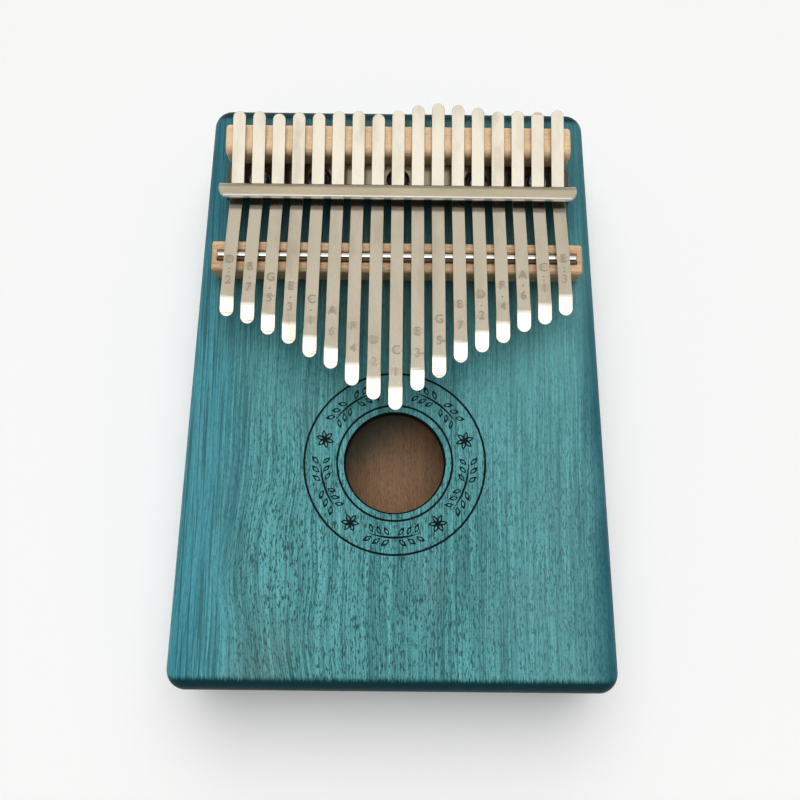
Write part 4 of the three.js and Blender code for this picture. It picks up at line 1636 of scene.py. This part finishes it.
def screw_profile():
    root_radius = SHANK_RADIUS - THREAD_DEPTH
    profile = [(POINT_RADIUS, -SCREW_LENGTH)]
    turns = int((SCREW_LENGTH - SCREW_POINT) / THREAD_PITCH)
    for turn in range(turns):
        low = SCREW_POINT - SCREW_LENGTH + turn * THREAD_PITCH
        profile += [(root_radius, low), (SHANK_RADIUS, low + THREAD_PITCH / 2)]
    profile += [(root_radius, 0), (SCREW_HEAD_RADIUS - HEAD_SOFT, 0), (SCREW_HEAD_RADIUS, HEAD_SOFT)]
    rise = HEAD_HEIGHT - HEAD_RIM
    sphere = (SCREW_HEAD_RADIUS ** 2 + rise ** 2) / (2 * rise)
    widest = math.asin(SCREW_HEAD_RADIUS / sphere)
    for step in range(DOME_STEPS):
        turn = widest * (1 - step / DOME_STEPS)
        profile.append((sphere * math.sin(turn), HEAD_HEIGHT - sphere * (1 - math.cos(turn))))
    profile.append((CROWN_RADIUS, HEAD_HEIGHT))
    return profile


def recess_arm(turn):
    rings = []
    for depth, share in ((-RECESS_DEPTH, RECESS_FLOOR_SHARE), (CUT_PAST, 1)):
        length, width = RECESS_LENGTH / 2 * share, RECESS_WIDTH / 2 * share
        corners = [(-length, -width), (length, -width), (length, width), (-length, width)]
        rings.append([(x, y, HEAD_HEIGHT + depth) for x, y in corners])
    mesh = stacked_mesh("recess_arm", rings, screw_steel)
    mesh.transform(Matrix.Rotation(turn, 4, "Z"))
    return new_object("recess_arm", mesh)


one_screw = turned_solid("one_screw", screw_profile(), SCREW_SIDES, screw_steel)
carve(one_screw, recess_arm(0))
carve(one_screw, recess_arm(QUARTER))
print("faces of one screw:", len(one_screw.data.polygons))


# %% Five screws
SCREW_TURN = 0.55
screw_points = bpy.data.meshes.new("screw_points")
screw_places = [(tine_x(place, screw_line), screw_line, foot_top) for place in SCREW_TINES]
screw_points.from_pydata(screw_places, [], [])
clamp_screws = new_object("clamp_screws_dressed", screw_points)
grown(clamp_screws, copies_on_points, Piece=one_screw, Turn=SCREW_TURN, Finish=screw_steel)
bpy.data.objects.remove(one_screw)
finish_surface(clamp_screws)
report(clamp_screws)
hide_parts(*[f"clamp_screw_{number}" for number in range(1, len(SCREW_TINES) + 1)])
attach(clamp_screws, "sound_box")

# %% [markdown]
# ## Tines
# Every tine is the same strip of spring steel in another length, bent through the clamp, over the rod
# and down at its tip. That is a rule, so a geometry tree makes all of them. It takes a line of five
# points, rounds its bends, and wraps a strip with broken edges around it. Rows near either end swing
# round the end's own centre, which closes it in a half circle. The next three lessons are the line
# with its tube, the places of the rows, and the tree that joins them.

# %% Bent line and tube of rows
BEND_STEPS = 10
BREAK_STEPS = 3


def bent_centre_line(tree, value):
    """The tine's line with its bends rounded, and how long it is."""
    line = wired(tree, "GeometryNodeMeshToCurve", Mesh=value["Geometry"])
    bend = add_node(tree, "GeometryNodeInputNamedAttribute", data_type="FLOAT")
    bend.inputs["Name"].default_value = "bend_radius"
    rounded = add_node(tree, "GeometryNodeFilletCurve", mode="POLY")
    feed(tree, rounded.inputs["Curve"], line.outputs["Curve"])
    feed(tree, rounded.inputs["Radius"], bend.outputs["Attribute"])
    rounded.inputs["Count"].default_value = BEND_STEPS
    rounded.inputs["Limit Radius"].default_value = True
    length_node = wired(tree, "GeometryNodeCurveLength", Curve=rounded.outputs["Curve"])
    return rounded.outputs["Curve"], length_node.outputs["Length"]


def tube_of_rows(tree, value):
    """A tube round the strip's section, and for each point its row and its spot on the section."""
    ends = maths(tree, "MULTIPLY", value["End Rows"], 2)
    row_count = maths(tree, "ADD", maths(tree, "ADD", ends, value["Rows"]), 1)
    rows = add_node(tree, "GeometryNodeMeshLine", mode="OFFSET")
    feed(tree, rows.inputs["Count"], row_count)
    rows.inputs["Offset"].default_value = (0, 1, 0)
    rail = wired(tree, "GeometryNodeMeshToCurve", Mesh=rows.outputs["Mesh"])
    number = add_node(tree, "GeometryNodeInputIndex")
    rail_keep = add_node(tree, "GeometryNodeCaptureAttribute", domain="POINT")
    rail_keep.capture_items.new("FLOAT", "row")
    feed(tree, rail_keep.inputs[0], rail.outputs["Curve"])
    feed(tree, rail_keep.inputs[1], number.outputs[0])
    section = add_node(tree, "GeometryNodeCurvePrimitiveQuadrilateral", mode="RECTANGLE")
    feed(tree, section.inputs["Width"], value["Width"])
    feed(tree, section.inputs["Height"], value["Thickness"])
    broken = add_node(tree, "GeometryNodeFilletCurve", mode="POLY")
    feed(tree, broken.inputs["Curve"], section.outputs["Curve"])
    feed(tree, broken.inputs["Radius"], value["Edge Round"])
    broken.inputs["Count"].default_value = BREAK_STEPS
    spot = add_node(tree, "GeometryNodeInputPosition")
    section_keep = add_node(tree, "GeometryNodeCaptureAttribute", domain="POINT")
    section_keep.capture_items.new("VECTOR", "spot")
    feed(tree, section_keep.inputs[0], broken.outputs["Curve"])
    feed(tree, section_keep.inputs[1], spot.outputs[0])
    tube = wired(tree, "GeometryNodeCurveToMesh", Curve=rail_keep.outputs[0])
    feed(tree, tube.inputs["Profile Curve"], section_keep.outputs[0])
    across = add_node(tree, "ShaderNodeSeparateXYZ")
    feed(tree, across.inputs[0], section_keep.outputs[1])
    return tube.outputs["Mesh"], rail_keep.outputs[1], across.outputs


print("rows of points in a bend:", BEND_STEPS)


# %% Round ends and the wider tip
def row_places(tree, value, length, row, across):
    """How far along and aside each point goes, with rows that swing round the centres of the ends."""
    root_radius = maths(tree, "MULTIPLY", value["Width"], 0.5)
    tip_radius = maths(tree, "MULTIPLY", value["Tip Width"], 0.5)
    rear_share = maths(tree, "DIVIDE", row, value["End Rows"], clamp=True)
    past_rear = maths(tree, "SUBTRACT", row, value["End Rows"])
    middle_share = maths(tree, "DIVIDE", past_rear, value["Rows"], clamp=True)
    past_middle = maths(tree, "SUBTRACT", past_rear, value["Rows"])
    tip_share = maths(tree, "DIVIDE", past_middle, value["End Rows"], clamp=True)
    turn = maths(tree, "MULTIPLY", maths(tree, "ADD", rear_share, tip_share), QUARTER)
    straight = maths(tree, "SUBTRACT", maths(tree, "SUBTRACT", length, root_radius), tip_radius)
    centre = maths(tree, "MULTIPLY_ADD", middle_share, straight, root_radius)
    bend_line = maths(tree, "SUBTRACT", length, value["Tip Length"])
    spread_start = maths(tree, "SUBTRACT", bend_line, value["Tip Spread"])
    widening = add_node(tree, "ShaderNodeMapRange", clamp=True)
    feed(tree, widening.inputs["Value"], centre)
    feed(tree, widening.inputs["From Min"], spread_start)
    feed(tree, widening.inputs["From Max"], bend_line)
    feed(tree, widening.inputs["To Min"], root_radius)
    feed(tree, widening.inputs["To Max"], tip_radius)
    inset = maths(tree, "SUBTRACT", root_radius, maths(tree, "ABSOLUTE", across["X"]))
    reach = maths(tree, "SUBTRACT", widening.outputs["Result"], inset)
    along = maths(tree, "SUBTRACT", centre, maths(tree, "MULTIPLY", reach, maths(tree, "COSINE", turn)))
    side = maths(tree, "SIGN", across["X"])
    aside = maths(tree, "MULTIPLY", maths(tree, "MULTIPLY", reach, maths(tree, "SINE", turn)), side)
    return along, aside


print("a row swings by degrees:", round(math.degrees(QUARTER)))

# %% Tine tree
CLOSE_ENDS = 0.002 * MM


def tine_tree():
    tree, given, out = group_tree(
        "tine_strip",
        "GeometryNodeTree",
        [("Geometry", GEOMETRY), ("Width", NUMBER), ("Tip Width", NUMBER), ("Tip Length", NUMBER),
         ("Tip Spread", NUMBER), ("Thickness", NUMBER), ("Edge Round", NUMBER), ("Rows", WHOLE),
         ("End Rows", WHOLE), ("Finish", MATERIAL)],
        [("Geometry", GEOMETRY)],
    )
    value = given.outputs
    bent_line, length = bent_centre_line(tree, value)
    tube, row, across = tube_of_rows(tree, value)
    along, aside = row_places(tree, value, length, row, across)
    sample = add_node(tree, "GeometryNodeSampleCurve", mode="LENGTH")
    feed(tree, sample.inputs["Curves"], bent_line)
    feed(tree, sample.inputs["Length"], along)
    upward = vector_maths(tree, "CROSS_PRODUCT", sample.outputs["Tangent"], (1, 0, 0))
    upward = vector_maths(tree, "NORMALIZE", upward)
    lift = vector_maths(tree, "SCALE", upward)
    feed(tree, lift.node.inputs["Scale"], across["Y"])
    shift = wired(tree, "ShaderNodeCombineXYZ", X=aside)
    lifted = vector_maths(tree, "ADD", sample.outputs["Position"], lift)
    place = vector_maths(tree, "ADD", lifted, shift.outputs[0])
    shaped = wired(tree, "GeometryNodeSetPosition", Geometry=tube, Position=place)
    closed = wired(tree, "GeometryNodeMergeByDistance", Geometry=shaped.outputs["Geometry"])
    closed.inputs["Distance"].default_value = CLOSE_ENDS
    real = wired(tree, "GeometryNodeRealizeInstances", Geometry=closed.outputs["Geometry"])
    painted = add_node(tree, "GeometryNodeSetMaterial")
    feed(tree, painted.inputs["Geometry"], real.outputs["Geometry"])
    feed(tree, painted.inputs["Material"], value["Finish"])
    feed(tree, out.inputs["Geometry"], painted.outputs["Geometry"])
    return tree


tine_strip = tine_tree()
print("tine tree nodes:", len(tine_strip.nodes))

# %% The seventeen notes
NOTES = ("D6", "B5", "G5", "E5", "C5", "A4", "F4", "D4", "C4", "E4", "G4", "B4", "D5", "F5", "A5", "C6", "E6")
TIP_WIDTH = 4.25 * MM
TIP_LENGTH = 6.2 * MM
TIP_SPREAD = 3 * MM
TONGUE_RISE = 4
TIP_DROOP = 8
SADDLE_BEND = 8 * MM
TIP_BEND = 4 * MM
EDGE_BREAK = 0.12 * MM
ROW_STEP = 0.5 * MM
END_ROWS = 14


def tine_line(number, note):
    """The five points of a tine's middle plane in its own frame: rear end, clamp, rod, bend, tip."""
    label = f"tine_{number:02d}_{note}"
    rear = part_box(label + "_root")[1].y - web_line
    length = web_line - CLAMP_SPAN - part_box(label + "_tongue")[0].y
    straight = length - TIP_LENGTH
    slope = (rear_rest_height - clamp_height) / (rear_rest_line - web_line)
    bend_height = saddle_height + straight * math.tan(math.radians(TONGUE_RISE))
    tip_height = bend_height - TIP_LENGTH * math.tan(math.radians(TIP_DROOP))
    points = [(0, rear, clamp_height + slope * rear), (0, 0, clamp_height), (0, -CLAMP_SPAN, saddle_height),
              (0, -CLAMP_SPAN - straight, bend_height), (0, -CLAMP_SPAN - length, tip_height)]
    return label, length, points


print("notes:", len(NOTES))

# %% [markdown]
# ### Stamped notes
# Each tine has its note stamped into it near the tip: a letter, the number of the step in the scale,
# and a dot between them for each octave over the lowest. The marks are plain text, so Blender's own
# letters do, made solid with straight walls, and they cut the steel as the real punches dent it.
# Their strokes are made a little bold, but not those of "B" and "4", whose inner outlines would cross
# themselves. The flat ends of each punch are evened into well-shaped triangles, or the cut leaves
# gaps.

# %% Punches
SCALE_STEPS = "CDEFGAB"
LOWEST_OCTAVE = 4
LETTER_FROM_TIP = 18.0 * MM
DOTS_FROM_TIP = 14.3 * MM
DIGIT_FROM_TIP = 11.3 * MM
DOT_SPACING = 1.2 * MM
DOT_RADIUS = 0.30 * MM
MARK_TALL = 2.85 * MM
MARK_DEPTH = 0.10 * MM
MARK_BOLD = 0.06 * MM
CURVE_STEPS = 4
DOT_SIDES = 16
THIN_PUNCHES = "B4"


def text_mesh(text, size):
    letter = bpy.data.curves.new("punch", "FONT")
    letter.body = text
    letter.size = size
    letter.resolution_u = CURVE_STEPS
    letter.offset = 0 if text in THIN_PUNCHES else MARK_BOLD
    letter.extrude = CUT_PAST / 2
    mesh = mesh_of_curve("punch", letter)
    work = bmesh.new()
    work.from_mesh(mesh)
    bmesh.ops.remove_doubles(work, verts=work.verts, dist=WELD)
    bmesh.ops.beautify_fill(work, faces=work.faces, edges=work.edges)
    work.to_mesh(mesh)
    work.free()
    return mesh


def span(mesh, axis):
    values = [vertex.co[axis] for vertex in mesh.vertices]
    return min(values), max(values)


def punch(text):
    low, high = span(text_mesh("H", MARK_TALL), 1)
    mesh = text_mesh(text, MARK_TALL * MARK_TALL / (high - low))
    middle = [sum(span(mesh, axis)) / 2 for axis in (0, 1)]
    bottom = span(mesh, 2)[0]
    mesh.transform(Matrix.Translation((-middle[0], -middle[1], -MARK_DEPTH - bottom)))
    return mesh


def dot_punch():
    profile = [(DOT_RADIUS, -MARK_DEPTH), (DOT_RADIUS, CUT_PAST)]
    return stacked_mesh("dot", turned_rings(profile, DOT_SIDES))


punches = {text: punch(text) for text in SCALE_STEPS + "1234567"}
print("punches:", len(punches))


# %% Stamp a note
def note_punches(note):
    """The punches of a note, each with the distance of its centre from the tip."""
    letter, octave = note[0], int(note[1])
    yield punches[letter], LETTER_FROM_TIP
    dots = octave - LOWEST_OCTAVE
    for dot in range(dots):
        yield dot_punch(), DOTS_FROM_TIP + (dot - (dots - 1) / 2) * DOT_SPACING
    yield punches[str(SCALE_STEPS.index(letter) + 1)], DIGIT_FROM_TIP


def stamp_cutter(note, length):
    """All marks of one tine as a single cutter, in the tine's own frame."""
    work = bmesh.new()
    lean = Matrix.Rotation(math.radians(-TONGUE_RISE), 4, "X")
    rise = math.tan(math.radians(TONGUE_RISE))
    for mesh, from_tip in note_punches(note):
        ahead = length - from_tip
        top = saddle_height + ahead * rise + TINE_THICKNESS / 2
        placed = mesh.copy()
        placed.transform(Matrix.Translation((0, -CLAMP_SPAN - ahead, top)) @ lean)
        work.from_mesh(placed)
    mesh = bpy.data.meshes.new("stamp")
    work.to_mesh(mesh)
    work.free()
    mesh.materials.clear()
    mesh.materials.append(stamped_steel)
    return mesh


print("marks per tine: letter, dots, number")

# %% The seventeen tines
SMOOTH_TINE = 15
TINE_TARNISH = (0.2, 0.0, 0.3, 0.9, 0.3, 0.35, 0.9, 0.4, 0.3, 0.4, 0.3, 0.3, 0.2, 0.7, 0.3, 0.0, 0.2)


def tine_piece(number, note):
    place = number - 1 - MIDDLE
    label, length, points = tine_line(number, note)
    mesh = bpy.data.meshes.new(label)
    mesh.from_pydata(points, [(0, 1), (1, 2), (2, 3), (3, 4)], [])
    radii = mesh.attributes.new("bend_radius", "FLOAT", "POINT")
    radii.data.foreach_set("value", [0, CLAMP_BEND, SADDLE_BEND, TIP_BEND, 0])
    whole = sum((Vector(b) - Vector(a)).length for a, b in zip(points, points[1:]))
    tine = new_object(label + "_dressed", mesh)
    grown(
        tine, tine_strip, Width=TINE_WIDTH, Tip_Width=TIP_WIDTH, Tip_Length=TIP_LENGTH,
        Tip_Spread=TIP_SPREAD, Thickness=TINE_THICKNESS, Edge_Round=EDGE_BREAK,
        Rows=int(whole / ROW_STEP), End_Rows=END_ROWS, Finish=tine_steel,
    )
    face_outwards(tine.data)
    carve(tine, new_object("stamp", face_outwards(stamp_cutter(note, length))))
    turn = Matrix.Rotation(math.radians(place * FAN_STEP), 4, "Z")
    tine.data.transform(Matrix.Translation((tine_x(place), web_line, 0)) @ turn)
    finish_surface(tine, SMOOTH_TINE)
    tarnish = tine.data.attributes.new("tarnish", "FLOAT", "POINT")
    tarnish.data.foreach_set("value", [TINE_TARNISH[number - 1]] * len(tine.data.vertices))
    return tine, label


tines = []
for number, note in enumerate(NOTES, start=1):
    tine, label = tine_piece(number, note)
    report(tine)
    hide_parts(label + "_root", label + "_tongue")
    tines.append((tine, label))

# %% [markdown]
# ## The tines at the rod
# On the real tine nothing is hinged: the strip flexes where it passes over the rod. The frame has two
# bodies for it. Each tine here is already one strip, bent over the rod by the tree that made it, and
# its place is baked into its mesh.

# %% Bake the place of each tine
for tine, label in tines:
    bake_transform(tine)
print("tines blended:", len(tines))

# %% [markdown]
# ## Pieces kept from the CAD model
# The brace under the deck can only be seen through the sound hole, and its CAD shape is right, so it
# keeps it and only gets its wood.

# %% Brace block
brace_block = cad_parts["brace_block"]
brace_block.data.materials.clear()
brace_block.data.materials.append(plain_mahogany)
